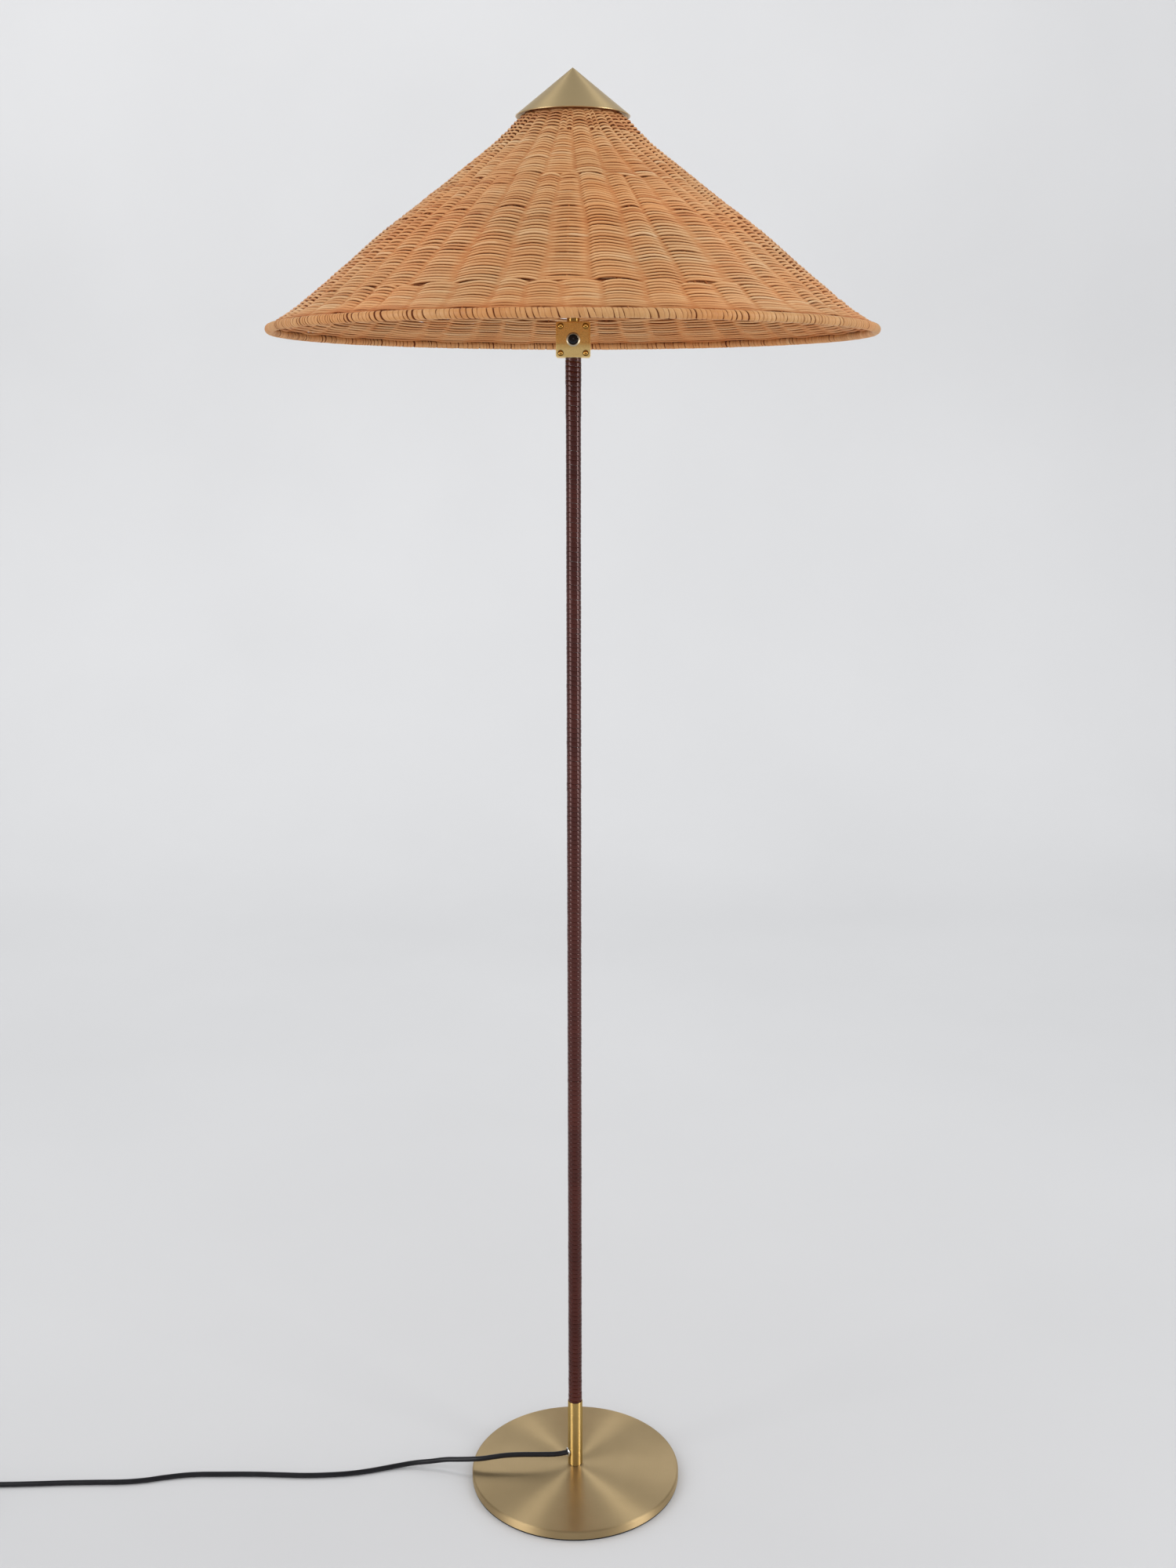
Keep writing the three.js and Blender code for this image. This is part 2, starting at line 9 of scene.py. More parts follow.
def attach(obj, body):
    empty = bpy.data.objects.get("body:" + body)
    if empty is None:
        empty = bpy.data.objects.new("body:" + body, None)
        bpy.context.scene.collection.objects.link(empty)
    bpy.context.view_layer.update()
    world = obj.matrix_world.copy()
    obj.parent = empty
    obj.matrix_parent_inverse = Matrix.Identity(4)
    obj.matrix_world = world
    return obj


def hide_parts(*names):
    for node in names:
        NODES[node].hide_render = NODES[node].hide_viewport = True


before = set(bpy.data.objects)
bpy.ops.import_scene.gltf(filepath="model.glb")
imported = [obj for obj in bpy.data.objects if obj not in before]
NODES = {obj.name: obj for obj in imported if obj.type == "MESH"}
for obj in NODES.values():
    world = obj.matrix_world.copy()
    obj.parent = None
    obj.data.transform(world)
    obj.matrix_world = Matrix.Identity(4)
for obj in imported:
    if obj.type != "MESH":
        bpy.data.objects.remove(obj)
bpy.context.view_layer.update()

scene = bpy.context.scene
MM = 0.001

# ---------------------------------------------------------------- camera
cam_data = bpy.data.cameras.new("camera")
cam = bpy.data.objects.new("camera", cam_data)
scene.collection.objects.link(cam)
cam_data.sensor_width = 36.0
cam_data.lens = 38.0
cam.location = (0.0146, -1.694, 1.181)
cam.rotation_euler = (math.pi / 2 - 0.2140, 0, 0)
scene.camera = cam
scene.view_settings.view_transform = "Standard"
scene.view_settings.look = "None"


# ---------------------------------------------------------------- materials
def shader(name):
    mat = bpy.data.materials.new(name)
    mat.use_nodes = True
    nt = mat.node_tree
    nt.nodes.clear()
    out = nt.nodes.new("ShaderNodeOutputMaterial")
    bsdf = nt.nodes.new("ShaderNodeBsdfPrincipled")
    nt.links.new(bsdf.outputs["BSDF"], out.inputs["Surface"])
    return mat, nt, bsdf


def add(nt, kind, **values):
    node = nt.nodes.new(kind)
    for k, v in values.items():
        if k in node.inputs:
            node.inputs[k].default_value = v
        else:
            setattr(node, k, v)
    return node


def ramp(nt, source, stops):
    r = nt.nodes.new("ShaderNodeValToRGB")
    r.color_ramp.elements[0].position, r.color_ramp.elements[0].color = stops[0][0], (*stops[0][1], 1)
    r.color_ramp.elements[1].position, r.color_ramp.elements[1].color = stops[-1][0], (*stops[-1][1], 1)
    for pos, col in stops[1:-1]:
        e = r.color_ramp.elements.new(pos)
        e.color = (*col, 1)
    nt.links.new(source, r.inputs["Fac"])
    return r.outputs["Color"]


def span(nt, source, lo, hi):
    m = nt.nodes.new("ShaderNodeMapRange")
    m.inputs["To Min"].default_value = lo
    m.inputs["To Max"].default_value = hi
    nt.links.new(source, m.inputs["Value"])
    return m.outputs["Result"]


def coords(nt, scale=(1, 1, 1), kind="Object"):
    tc = nt.nodes.new("ShaderNodeTexCoord")
    mp = nt.nodes.new("ShaderNodeMapping")
    mp.inputs["Scale"].default_value = scale
    nt.links.new(tc.outputs[kind], mp.inputs["Vector"])
    return mp.outputs["Vector"]


def noise(nt, vector, scale, detail=3.0, rough=0.55):
    n = add(nt, "ShaderNodeTexNoise", Scale=scale, Detail=detail, Roughness=rough)
    if vector is not None:
        nt.links.new(vector, n.inputs["Vector"])
    return n.outputs["Fac"]


def bump(nt, bsdf, height, distance, strength=1.0):
    b = nt.nodes.new("ShaderNodeBump")
    b.inputs["Distance"].default_value = distance
    b.inputs["Strength"].default_value = strength
    nt.links.new(height, b.inputs["Height"])
    nt.links.new(b.outputs["Normal"], bsdf.inputs["Normal"])
    return b


def metal(name, dark, light, rough=(0.22, 0.30), aniso=0.0, rotation=0.0, tangent=None, grain=(400, 400, 60), relief=0.00002,
          patch=9.0, painted_sheen_and_mottle=None):
    """Brushed or turned metal: grain is the scale of its scratches along x, y and z; the last argument paints a change
    of tone between two heights, a painted reflection with a faint mottle.
    """
    mat, nt, bsdf = shader(name)
    bsdf.inputs["Metallic"].default_value = 1.0
    vec = coords(nt, grain)
    fine = noise(nt, vec, 6.0, 4.0, 0.6)
    wide = noise(nt, coords(nt), patch, 3.0)
    mix = add(nt, "ShaderNodeMath", operation="ADD")
    half = add(nt, "ShaderNodeMath", operation="MULTIPLY")
    half.inputs[1].default_value = 0.5
    nt.links.new(fine, mix.inputs[0])
    nt.links.new(wide, mix.inputs[1])
    nt.links.new(mix.outputs[0], half.inputs[0])
    colour = ramp(nt, half.outputs[0], [(0.3, dark), (0.7, light)])
    # painted reflection: above the given height the sheet is painted darker and redder, below it lighter, with a faint
    # mottle
    if painted_sheen_and_mottle:
        tc = nt.nodes.new("ShaderNodeTexCoord")
        xyz = nt.nodes.new("ShaderNodeSeparateXYZ")
        nt.links.new(tc.outputs["Object"], xyz.inputs[0])
        up = nt.nodes.new("ShaderNodeMapRange")
        up.inputs["From Min"].default_value, up.inputs["From Max"].default_value = painted_sheen_and_mottle[:2]
        nt.links.new(xyz.outputs["Z"], up.inputs["Value"])
        sum_ = add(nt, "ShaderNodeMath", operation="MULTIPLY_ADD")
        nt.links.new(noise(nt, coords(nt), 90.0, 2.0), sum_.inputs[0])
        sum_.inputs[1].default_value = 0.7
        nt.links.new(up.outputs[0], sum_.inputs[2])
        sheen_tint = add(nt, "ShaderNodeMix", data_type="RGBA", blend_type="MULTIPLY")
        sheen_tint.inputs[0].default_value = 1.0
        nt.links.new(colour, sheen_tint.inputs[6])
        nt.links.new(ramp(nt, sum_.outputs[0], [(0.45, painted_sheen_and_mottle[2]), (1.0, painted_sheen_and_mottle[3])]), sheen_tint.inputs[7])
        colour = sheen_tint.outputs[2]
    nt.links.new(colour, bsdf.inputs["Base Color"])
    nt.links.new(span(nt, half.outputs[0], *rough), bsdf.inputs["Roughness"])
    if relief:
        grain_bump = bump(nt, bsdf, fine, relief)
        if painted_sheen_and_mottle:                        # pressed sheet: it leans down by a few degrees along its lower edge
            sag = nt.nodes.new("ShaderNodeMapRange")
            sag.interpolation_type = "SMOOTHSTEP"
            sag.inputs["From Min"].default_value, sag.inputs["From Max"].default_value = painted_sheen_and_mottle[0] - 0.010, painted_sheen_and_mottle[0] + 0.007
            nt.links.new(xyz.outputs["Z"], sag.inputs["Value"])
            lean_bump = nt.nodes.new("ShaderNodeBump")
            lean_bump.inputs["Distance"].default_value = 0.0013
            nt.links.new(sag.outputs["Result"], lean_bump.inputs["Height"])
            nt.links.new(lean_bump.outputs["Normal"], grain_bump.inputs["Normal"])
    if aniso:
        bsdf.inputs["Anisotropic"].default_value = aniso
        bsdf.inputs["Anisotropic Rotation"].default_value = rotation
        t = nt.nodes.new("ShaderNodeTangent")
        t.direction_type = "RADIAL"
        t.axis = tangent or "Z"
        nt.links.new(t.outputs["Tangent"], bsdf.inputs["Tangent"])
    return mat


def turned_metal(name, dark, light, rough, aniso, rotation):
    """Lathe-brushed disc or cone: fine rings round Z, so the light gathers in soft sectors."""
    mat, nt, bsdf = shader(name)
    bsdf.inputs["Metallic"].default_value = 1.0
    tc = nt.nodes.new("ShaderNodeTexCoord")
    xyz = nt.nodes.new("ShaderNodeSeparateXYZ")
    nt.links.new(tc.outputs["Object"], xyz.inputs[0])
    sq = []
    for axis in ("X", "Y"):
        m = add(nt, "ShaderNodeMath", operation="MULTIPLY")
        nt.links.new(xyz.outputs[axis], m.inputs[0])
        nt.links.new(xyz.outputs[axis], m.inputs[1])
        sq.append(m.outputs[0])
    s = add(nt, "ShaderNodeMath", operation="ADD")
    nt.links.new(sq[0], s.inputs[0])
    nt.links.new(sq[1], s.inputs[1])
    r = add(nt, "ShaderNodeMath", operation="SQRT")
    nt.links.new(s.outputs[0], r.inputs[0])
    rings = add(nt, "ShaderNodeTexNoise", noise_dimensions="1D", Scale=2600.0, Detail=3.0, Roughness=0.6)
    nt.links.new(r.outputs[0], rings.inputs["W"])
    wide = noise(nt, coords(nt), 14.0, 3.0)
    mix = add(nt, "ShaderNodeMix", data_type="FLOAT")
    mix.inputs[0].default_value = 0.5
    nt.links.new(rings.outputs["Fac"], mix.inputs[2])
    nt.links.new(wide, mix.inputs[3])
    nt.links.new(ramp(nt, mix.outputs[0], [(0.3, dark), (0.7, light)]), bsdf.inputs["Base Color"])
    lip = add(nt, "ShaderNodeMapRange")                       # the rolled edge is polished less
    for k, v in zip((1, 2, 3, 4), (0.1158, 0.1170, 0.0, 0.16)):
        lip.inputs[k].default_value = v
    nt.links.new(r.outputs[0], lip.inputs[0])
    both = add(nt, "ShaderNodeMath", operation="ADD")
    nt.links.new(span(nt, mix.outputs[0], *rough), both.inputs[0])
    nt.links.new(lip.outputs[0], both.inputs[1])
    nt.links.new(both.outputs[0], bsdf.inputs["Roughness"])
    bump(nt, bsdf, rings.outputs["Fac"], 0.000012)
    bsdf.inputs["Anisotropic"].default_value = aniso
    bsdf.inputs["Anisotropic Rotation"].default_value = rotation
    t = nt.nodes.new("ShaderNodeTangent")
    t.direction_type = "RADIAL"
    t.axis = "Z"
    nt.links.new(t.outputs["Tangent"], bsdf.inputs["Tangent"])
    return mat


def plain(name, dark, light, rough, patch=40.0, relief=0.0, relief_scale=900.0, coat=0.0, metallic=0.0, specular=0.5):
    """Moulded or cast stuff with a faint mottle."""
    mat, nt, bsdf = shader(name)
    bsdf.inputs["Metallic"].default_value = metallic
    bsdf.inputs["Specular IOR Level"].default_value = specular
    bsdf.inputs["Coat Weight"].default_value = coat
    n = noise(nt, coords(nt), patch, 5.0, 0.6)
    nt.links.new(ramp(nt, n, [(0.32, dark), (0.68, light)]), bsdf.inputs["Base Color"])
    nt.links.new(span(nt, n, *rough), bsdf.inputs["Roughness"])
    if relief:
        bump(nt, bsdf, noise(nt, coords(nt), relief_scale, 4.0, 0.6), relief)
    return mat


def rattan(name, stops, rough, streak=0.24, fibre=0.00005, grain=(90.0, 9.0, 1.0),
           crevice_painted_shade=((0.0, (0.22, 0.092, 0.036)), (0.42, (0.70, 0.50, 0.34)), (0.90, (1.0, 1.0, 1.0)))):
    """Rattan rod or split cane. The mesh carries a tint for each length of rod, a UV that runs along it, and a
    painted-shading level that paints shade into its crevices.
    """
    mat, nt, bsdf = shader(name)
    tint = nt.nodes.new("ShaderNodeAttribute")
    tint.attribute_name = "tint"
    uv = coords(nt, grain, "UV")
    lines = noise(nt, uv, 2.2, 4.0, 0.65)
    blotch = noise(nt, coords(nt), 26.0, 3.0, 0.6)
    speck = noise(nt, coords(nt), 700.0, 2.0, 0.6)
    a = add(nt, "ShaderNodeMix", data_type="FLOAT")
    a.inputs[0].default_value = streak
    nt.links.new(tint.outputs["Fac"], a.inputs[2])
    nt.links.new(lines, a.inputs[3])
    b = add(nt, "ShaderNodeMix", data_type="FLOAT")
    b.inputs[0].default_value = 0.18
    nt.links.new(a.outputs[0], b.inputs[2])
    nt.links.new(blotch, b.inputs[3])
    c = add(nt, "ShaderNodeMix", data_type="FLOAT")
    c.inputs[0].default_value = 0.1
    nt.links.new(b.outputs[0], c.inputs[2])
    nt.links.new(speck, c.inputs[3])
    # painted shade in the crevices between rods, taken from the mesh's painted-shading level
    shading_attr_node = nt.nodes.new("ShaderNodeAttribute")
    shading_attr_node.attribute_name = "painted_shading"
    m = add(nt, "ShaderNodeMix", data_type="RGBA", blend_type="MULTIPLY")
    m.inputs[0].default_value = 1.0
    nt.links.new(ramp(nt, c.outputs[0], stops), m.inputs[6])
    nt.links.new(ramp(nt, shading_attr_node.outputs["Fac"], crevice_painted_shade), m.inputs[7])
    drift = add(nt, "ShaderNodeMix", data_type="RGBA", blend_type="MULTIPLY")
    drift.inputs[0].default_value = 1.0
    nt.links.new(m.outputs[2], drift.inputs[6])
    nt.links.new(ramp(nt, noise(nt, coords(nt), 11.0, 2.0), [(0.36, (1.04, 0.955, 0.87)), (0.64, (0.97, 1.045, 1.12))]), drift.inputs[7])
    nt.links.new(drift.outputs[2], bsdf.inputs["Base Color"])
    # the same painted-shading level also makes the crevices duller
    crevice_roughness = add(nt, "ShaderNodeMix", data_type="FLOAT")
    nt.links.new(shading_attr_node.outputs["Fac"], crevice_roughness.inputs[0])
    crevice_roughness.inputs[2].default_value = 0.95
    nt.links.new(span(nt, lines, *rough), crevice_roughness.inputs[3])
    nt.links.new(crevice_roughness.outputs[0], bsdf.inputs["Roughness"])
    bsdf.inputs["Specular IOR Level"].default_value = 0.28
    bump(nt, bsdf, lines, fibre)
    return mat


def leather(name):
    mat, nt, bsdf = shader(name)
    grain = add(nt, "ShaderNodeTexVoronoi", feature="DISTANCE_TO_EDGE", Scale=1500.0)
    nt.links.new(coords(nt), grain.inputs["Vector"])
    wide = noise(nt, coords(nt, (1, 1, 0.6)), 60.0, 4.0, 0.6)
    tint = nt.nodes.new("ShaderNodeAttribute")
    tint.attribute_name = "tint"
    a = add(nt, "ShaderNodeMix", data_type="FLOAT")
    a.inputs[0].default_value = 0.45
    nt.links.new(wide, a.inputs[2])
    nt.links.new(tint.outputs["Fac"], a.inputs[3])
    xyz = nt.nodes.new("ShaderNodeSeparateXYZ")               # darker and duller towards the foot
    nt.links.new(coords(nt), xyz.inputs[0])
    low = add(nt, "ShaderNodeMapRange")
    for k, v in zip((1, 2, 3, 4), (0.20, 0.56, 0.33, 0.55)):
        low.inputs[k].default_value = v
    nt.links.new(xyz.outputs["Z"], low.inputs[0])
    nt.links.new(low.outputs[0], bsdf.inputs["Specular IOR Level"])
    both = add(nt, "ShaderNodeMix", data_type="RGBA", blend_type="MULTIPLY")
    both.inputs[0].default_value = 1.0
    nt.links.new(ramp(nt, a.outputs[0], [(0.1, (0.022, 0.0036, 0.0020)), (0.5, (0.044, 0.0075, 0.0042)), (0.9, (0.070, 0.0135, 0.0080))]),
                 both.inputs[6])
    nt.links.new(ramp(nt, xyz.outputs["Z"], [(0.20, (0.70, 0.74, 0.80)), (0.56, (1.0, 1.0, 1.0))]), both.inputs[7])
    nt.links.new(both.outputs[2], bsdf.inputs["Base Color"])
    nt.links.new(span(nt, wide, 0.15, 0.21), bsdf.inputs["Roughness"])
    bsdf.inputs["Specular Tint"].default_value = (1.0, 0.72, 0.70, 1.0)
    bump(nt, bsdf, grain.outputs["Distance"], 0.00003)
    return mat


M = {
    "base": turned_metal("base_brass", (0.508, 0.372, 0.192), (0.650, 0.488, 0.265), (0.37, 0.43), 0.94, 0.25),
    "cap": turned_metal("cap_brass", (0.705, 0.535, 0.275), (0.840, 0.642, 0.345), (0.36, 0.42), 0.84, 0.25),
    "brass": metal("sleeve_brass", (0.61, 0.415, 0.130), (0.84, 0.60, 0.245), (0.35, 0.41), 1.0, 0.25, grain=(300, 300, 900)),
    "plate": metal("plate_brass", (0.93, 0.70, 0.31), (1.0, 0.80, 0.40), (0.24, 0.32), grain=(40, 40, 500),
                   # the plate carries a painted reflection, darker and redder above its lower edge
                   painted_sheen_and_mottle=(1.252, 1.262, (0.97, 0.88, 0.74), (0.95, 0.80, 0.57))),
    "screw": metal("screw_brass", (0.46, 0.24, 0.05), (0.64, 0.38, 0.10), (0.15, 0.22), grain=(600, 600, 600)),
    "ring": metal("ring_nickel", (0.40, 0.34, 0.235), (0.53, 0.465, 0.34), (0.32, 0.42), grain=(500, 500, 500), relief=0),
    "neck": metal("neck_brass", (0.38, 0.21, 0.05), (0.52, 0.33, 0.10), (0.10, 0.16), grain=(600, 600, 600)),
    "bright": metal("bright_brass", (0.62, 0.42, 0.16), (0.80, 0.58, 0.26), (0.10, 0.18), grain=(600, 600, 600)),
    "nickel": metal("bright_nickel", (0.62, 0.62, 0.60), (0.82, 0.82, 0.80), (0.06, 0.12), grain=(500, 500, 500), relief=0),
    "steel": metal("zinc_steel", (0.45, 0.45, 0.45), (0.66, 0.66, 0.65), (0.25, 0.40), grain=(200, 200, 200)),
    "iron": plain("cast_iron_black", (0.02, 0.02, 0.022), (0.06, 0.06, 0.062), (0.6, 0.8), 60, 0.0002, 700),
    "cord": plain("cord_pvc", (0.0048, 0.0047, 0.0062), (0.0088, 0.0086, 0.0112), (0.27, 0.37), 60, 0.00002, 1500, specular=0.30),
    "plastic": plain("black_plastic", (0.003, 0.003, 0.004), (0.006, 0.006, 0.008), (0.10, 0.17), 70, 0.00001, 1200, specular=0.35),
    "rubber": plain("black_rubber", (0.013, 0.012, 0.012), (0.024, 0.022, 0.022), (0.65, 0.8), 80, 0.00005, 1600, specular=0.3),
    "porcelain": plain("white_porcelain", (0.72, 0.70, 0.66), (0.82, 0.80, 0.76), (0.30, 0.42), 50),
    "leather": leather("pole_leather"),
    "rattan": rattan("rattan_rod", [(0.16, (0.395, 0.150, 0.047)), (0.34, (0.520, 0.237, 0.085)), (0.50, (0.585, 0.300, 0.121)),
                                    (0.64, (0.610, 0.345, 0.155)), (0.86, (0.655, 0.425, 0.230))], (0.42, 0.60)),
    "cane": rattan("split_cane", [(0.30, (0.36, 0.142, 0.044)), (0.43, (0.49, 0.228, 0.078)), (0.56, (0.545, 0.275, 0.103)),
                                  (0.68, (0.70, 0.435, 0.215))], (0.40, 0.58), 0.60, 0.00018, (28.0, 6.0, 1.0),
                   # the last ramp is the cane's painted crevice shade
                   ((0.0, (0.16, 0.08, 0.05)), (0.45, (0.62, 0.50, 0.42)), (0.95, (1.0, 1.0, 1.0)))),
}
for look, tone in (("brass", (0.12, 0.08, 0.04, 1.0)), ("cap", (0.92, 0.95, 1.0, 1.0))):      # metal seen at a shallow angle
    next(q for q in M[look].node_tree.nodes if q.type == "BSDF_PRINCIPLED").inputs["Specular Tint"].default_value = tone
mat, nt, bsdf = shader("opal_glass")
n = noise(nt, coords(nt), 30.0, 3.0)
nt.links.new(ramp(nt, n, [(0.3, (0.86, 0.85, 0.81)), (0.7, (0.92, 0.91, 0.88))]), bsdf.inputs["Base Color"])
nt.links.new(span(nt, n, 0.22, 0.30), bsdf.inputs["Roughness"])
bsdf.inputs["Subsurface Weight"].default_value = 0.25
bsdf.inputs["Subsurface Radius"].default_value = (0.01, 0.01, 0.01)
bsdf.inputs["Coat Weight"].default_value = 0.3
M["opal"] = mat


# ---------------------------------------------------------------- mesh helpers
def piece(name, verts, faces, body, look, replaces=(), angle=38, tint=None, uv=None, placed=None, shade_paint_level=None):
    """A named piece from points in metres and faces, turned outwards, smooth except at sharp edges."""
    V = np.asarray(verts, float).reshape(-1, 3)
    me = bpy.data.meshes.new(name)
    flat = isinstance(faces, np.ndarray)
    me.from_pydata(V.tolist(), [], faces.tolist() if flat else [list(f) for f in faces])
    me.update()
    me.calc_loop_triangles()
    tri = np.empty(len(me.loop_triangles) * 3, np.int32)
    me.loop_triangles.foreach_get("vertices", tri)
    tri = tri.reshape(-1, 3)
    a, b, c = V[tri[:, 0]], V[tri[:, 1]], V[tri[:, 2]]
    if np.einsum("ij,ij->i", a, np.cross(b, c)).sum() < 0:
        me.flip_normals()
    if tint is not None:
        at = me.attributes.new("tint", "FLOAT", "POINT")
        at.data.foreach_set("value", np.asarray(tint, np.float32).ravel())
    # rattan and cane carry a painted-shading level: 1 where lit, lower where shade is painted
    if look in ("rattan", "cane"):
        at = me.attributes.new("painted_shading", "FLOAT", "POINT")
        at.data.foreach_set("value", np.ones(len(V), np.float32) if shade_paint_level is None else np.asarray(shade_paint_level, np.float32).ravel())
    if uv is not None:
        layer = me.uv_layers.new(name="along")
        idx = np.empty(len(me.loops), np.int32)
        me.loops.foreach_get("vertex_index", idx)
        layer.data.foreach_set("uv", np.asarray(uv, np.float32).reshape(-1, 2)[idx].ravel())
    ob = bpy.data.objects.new(name, me)
    scene.collection.objects.link(ob)
    if placed is not None:
        me.transform(placed)
    finish_piece(ob, body, look, replaces, angle)
    return ob


def finish_piece(ob, body, look, replaces=(), angle=38):
    me = ob.data
    me.shade_smooth()
    me.set_sharp_from_angle(angle=math.radians(angle))
    me.materials.clear()
    me.materials.append(M[look])
    if body:
        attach(ob, body)
    if replaces:
        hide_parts(*replaces)


def soften(points, radius, k=3, keep=()):
    """Rounds the corners of a closed outline; keep lists the corners that stay sharp."""
    out, n = [], len(points)
    for i, p in enumerate(points):
        r = radius[i] if hasattr(radius, "__len__") else radius
        a, b, c = (np.array(points[j % n], float) for j in (i - 1, i, i + 1))
        u, v = a - b, c - b
        lu, lv = np.linalg.norm(u), np.linalg.norm(v)
        if i in keep or r <= 0 or p[0] < 1e-6 or abs(np.dot(u, v) / (lu * lv) + 1) < 1e-4:
            out.append(tuple(b))
            continue
        d = min(r, 0.45 * lu, 0.45 * lv)
        p0, p2 = b + u / lu * d, b + v / lv * d
        for t in np.linspace(0, 1, k + 1):
            out.append(tuple((1 - t) ** 2 * p0 + 2 * t * (1 - t) * b + t * t * p2))
    return out


def lathe(profile, n=96):
    """Points and faces of a closed outline of (radius, height) in millimetres turned about Z, in metres."""
    verts, rings = [], []
    ang = np.arange(n) * 2 * math.pi / n
    for r, z in profile:
        if r < 1e-6:
            rings.append([len(verts)] * n)
            verts.append((0, 0, z * MM))
        else:
            rings.append(list(range(len(verts), len(verts) + n)))
            verts += [(r * MM * math.cos(t), r * MM * math.sin(t), z * MM) for t in ang]
    faces = []
    for i in range(len(rings)):
        a, b = rings[i], rings[(i + 1) % len(rings)]
        for k in range(n):
            k2 = (k + 1) % n
            f = list(dict.fromkeys([a[k], a[k2], b[k2], b[k]]))
            if len(f) > 2:
                faces.append(f)
    return verts, faces


def turned(name, profile, body, look, replaces=(), n=96, soft=0.25, keep=(), placed=None, angle=38):
    v, f = lathe(soften(profile, soft, keep=keep) if soft else profile, n)
    return piece(name, v, f, body, look, replaces, angle, placed=placed)


def sweep(P, N, B, profile, closed_path, closed_profile=True):
    """Sweeps profile (m, 2), along N and B, over the path P (n, 3)."""
    n, m = len(P), len(profile)
    prof = profile if profile.ndim == 3 else profile[None]
    V = P[:, None, :] + N[:, None, :] * prof[..., 0:1] + B[:, None, :] * prof[..., 1:2]
    i = np.arange(n if closed_path else n - 1)
    j = np.arange(m)
    I, J = np.meshgrid(i, j, indexing="ij")
    I2, J2 = (I + 1) % n, (J + 1) % m
    F = np.stack([I * m + J, I2 * m + J, I2 * m + J2, I * m + J2], -1).reshape(-1, 4)
    return V.reshape(-1, 3), F


def frames(P, closed=False, up=None):
    """Rotation-minimising frames along a path."""
    P = np.asarray(P, float)
    T = np.roll(P, -1, 0) - np.roll(P, 1, 0) if closed else np.gradient(P, axis=0)
    T /= np.linalg.norm(T, axis=1)[:, None]
    N = np.zeros_like(P)
    n = np.array(up if up is not None else (0, 0, 1), float)
    if abs(np.dot(n, T[0])) > 0.9:
        n = np.array((1.0, 0, 0))
    for k in range(len(P)):
        n = n - np.dot(n, T[k]) * T[k]
        n /= np.linalg.norm(n)
        N[k] = n
    return T, N, np.cross(T, N)


def circle(r, m, squash=1.0, phase=0.0):
    a = np.arange(m) * 2 * math.pi / m + phase
    return np.stack([r * squash * np.cos(a), r * np.sin(a)], 1)


def spline(points, per=10, closed=False):
    """Centripetal Catmull-Rom curve through the points."""
    P = [np.array(p, float) for p in points]
    if closed:
        P = [P[-1]] + P + [P[0], P[1]]
    else:
        P = [2 * P[0] - P[1]] + P + [2 * P[-1] - P[-2]]
    out = []
    for i in range(1, len(P) - 2):
        p0, p1, p2, p3 = P[i - 1], P[i], P[i + 1], P[i + 2]
        t0 = 0.0
        t1 = t0 + max(np.linalg.norm(p1 - p0), 1e-9) ** 0.5
        t2 = t1 + max(np.linalg.norm(p2 - p1), 1e-9) ** 0.5
        t3 = t2 + max(np.linalg.norm(p3 - p2), 1e-9) ** 0.5
        for t in np.linspace(t1, t2, per, endpoint=False):
            a1 = (t1 - t) / (t1 - t0) * p0 + (t - t0) / (t1 - t0) * p1
            a2 = (t2 - t) / (t2 - t1) * p1 + (t - t1) / (t2 - t1) * p2
            a3 = (t3 - t) / (t3 - t2) * p2 + (t - t2) / (t3 - t2) * p3
            b1 = (t2 - t) / (t2 - t0) * a1 + (t - t0) / (t2 - t0) * a2
            b2 = (t3 - t) / (t3 - t1) * a2 + (t - t1) / (t3 - t1) * a3
            out.append((t2 - t) / (t2 - t1) * b1 + (t - t1) / (t2 - t1) * b2)
    if not closed:
        out.append(P[-2])
    return np.array(out)


def capped(F, n, m):
    """Adds the two end faces of an open sweep of n rings of m points."""
    return [list(f) for f in F.tolist()] + [list(range(m))[::-1], list(range((n - 1) * m, n * m))]


def rod(name, points, radius, body, look, replaces=(), sides=14, per=10, tint=None):
    P = spline(points, per) * MM
    T, N, B = frames(P)
    V, F = sweep(P, N, B, circle(radius * MM, sides), False)
    n = len(P)
    uv = None
    t = None
    if tint is not None:
        s = np.concatenate([[0], np.cumsum(np.linalg.norm(np.diff(P, axis=0), axis=1))])
        uv = np.stack(np.broadcast_arrays(s[:, None], np.arange(sides)[None, :] / sides), -1).reshape(-1, 2)
        t = np.full(n * sides, tint)
    return piece(name, V, capped(F, n, sides), body, look, replaces, tint=t, uv=uv)


def slab(outline, y0, y1, bevel=0.3, steps=3):
    """Mesh of an outline (x, z) in millimetres extruded from y0 to y1, its two rims rounded."""
    bm = bmesh.new()
    vs = [bm.verts.new((x * MM, y0 * MM, z * MM)) for x, z in outline]
    face = bm.faces.new(vs)
    top = bmesh.ops.extrude_face_region(bm, geom=[face])
    moved = [g for g in top["geom"] if isinstance(g, bmesh.types.BMVert)]
    bmesh.ops.translate(bm, verts=moved, vec=(0, (y1 - y0) * MM, 0))
    rims = [e for e in bm.edges if abs(e.verts[0].co.y - e.verts[1].co.y) < 1e-9]
    if bevel:
        bmesh.ops.bevel(bm, geom=rims, offset=bevel * MM, segments=steps, profile=0.5, affect="EDGES")
    bmesh.ops.recalc_face_normals(bm, faces=bm.faces)
    return bm


def from_bmesh(name, bm):
    me = bpy.data.meshes.new(name)
    bm.to_mesh(me)
    bm.free()
    ob = bpy.data.objects.new(name, me)
    scene.collection.objects.link(ob)
    return ob


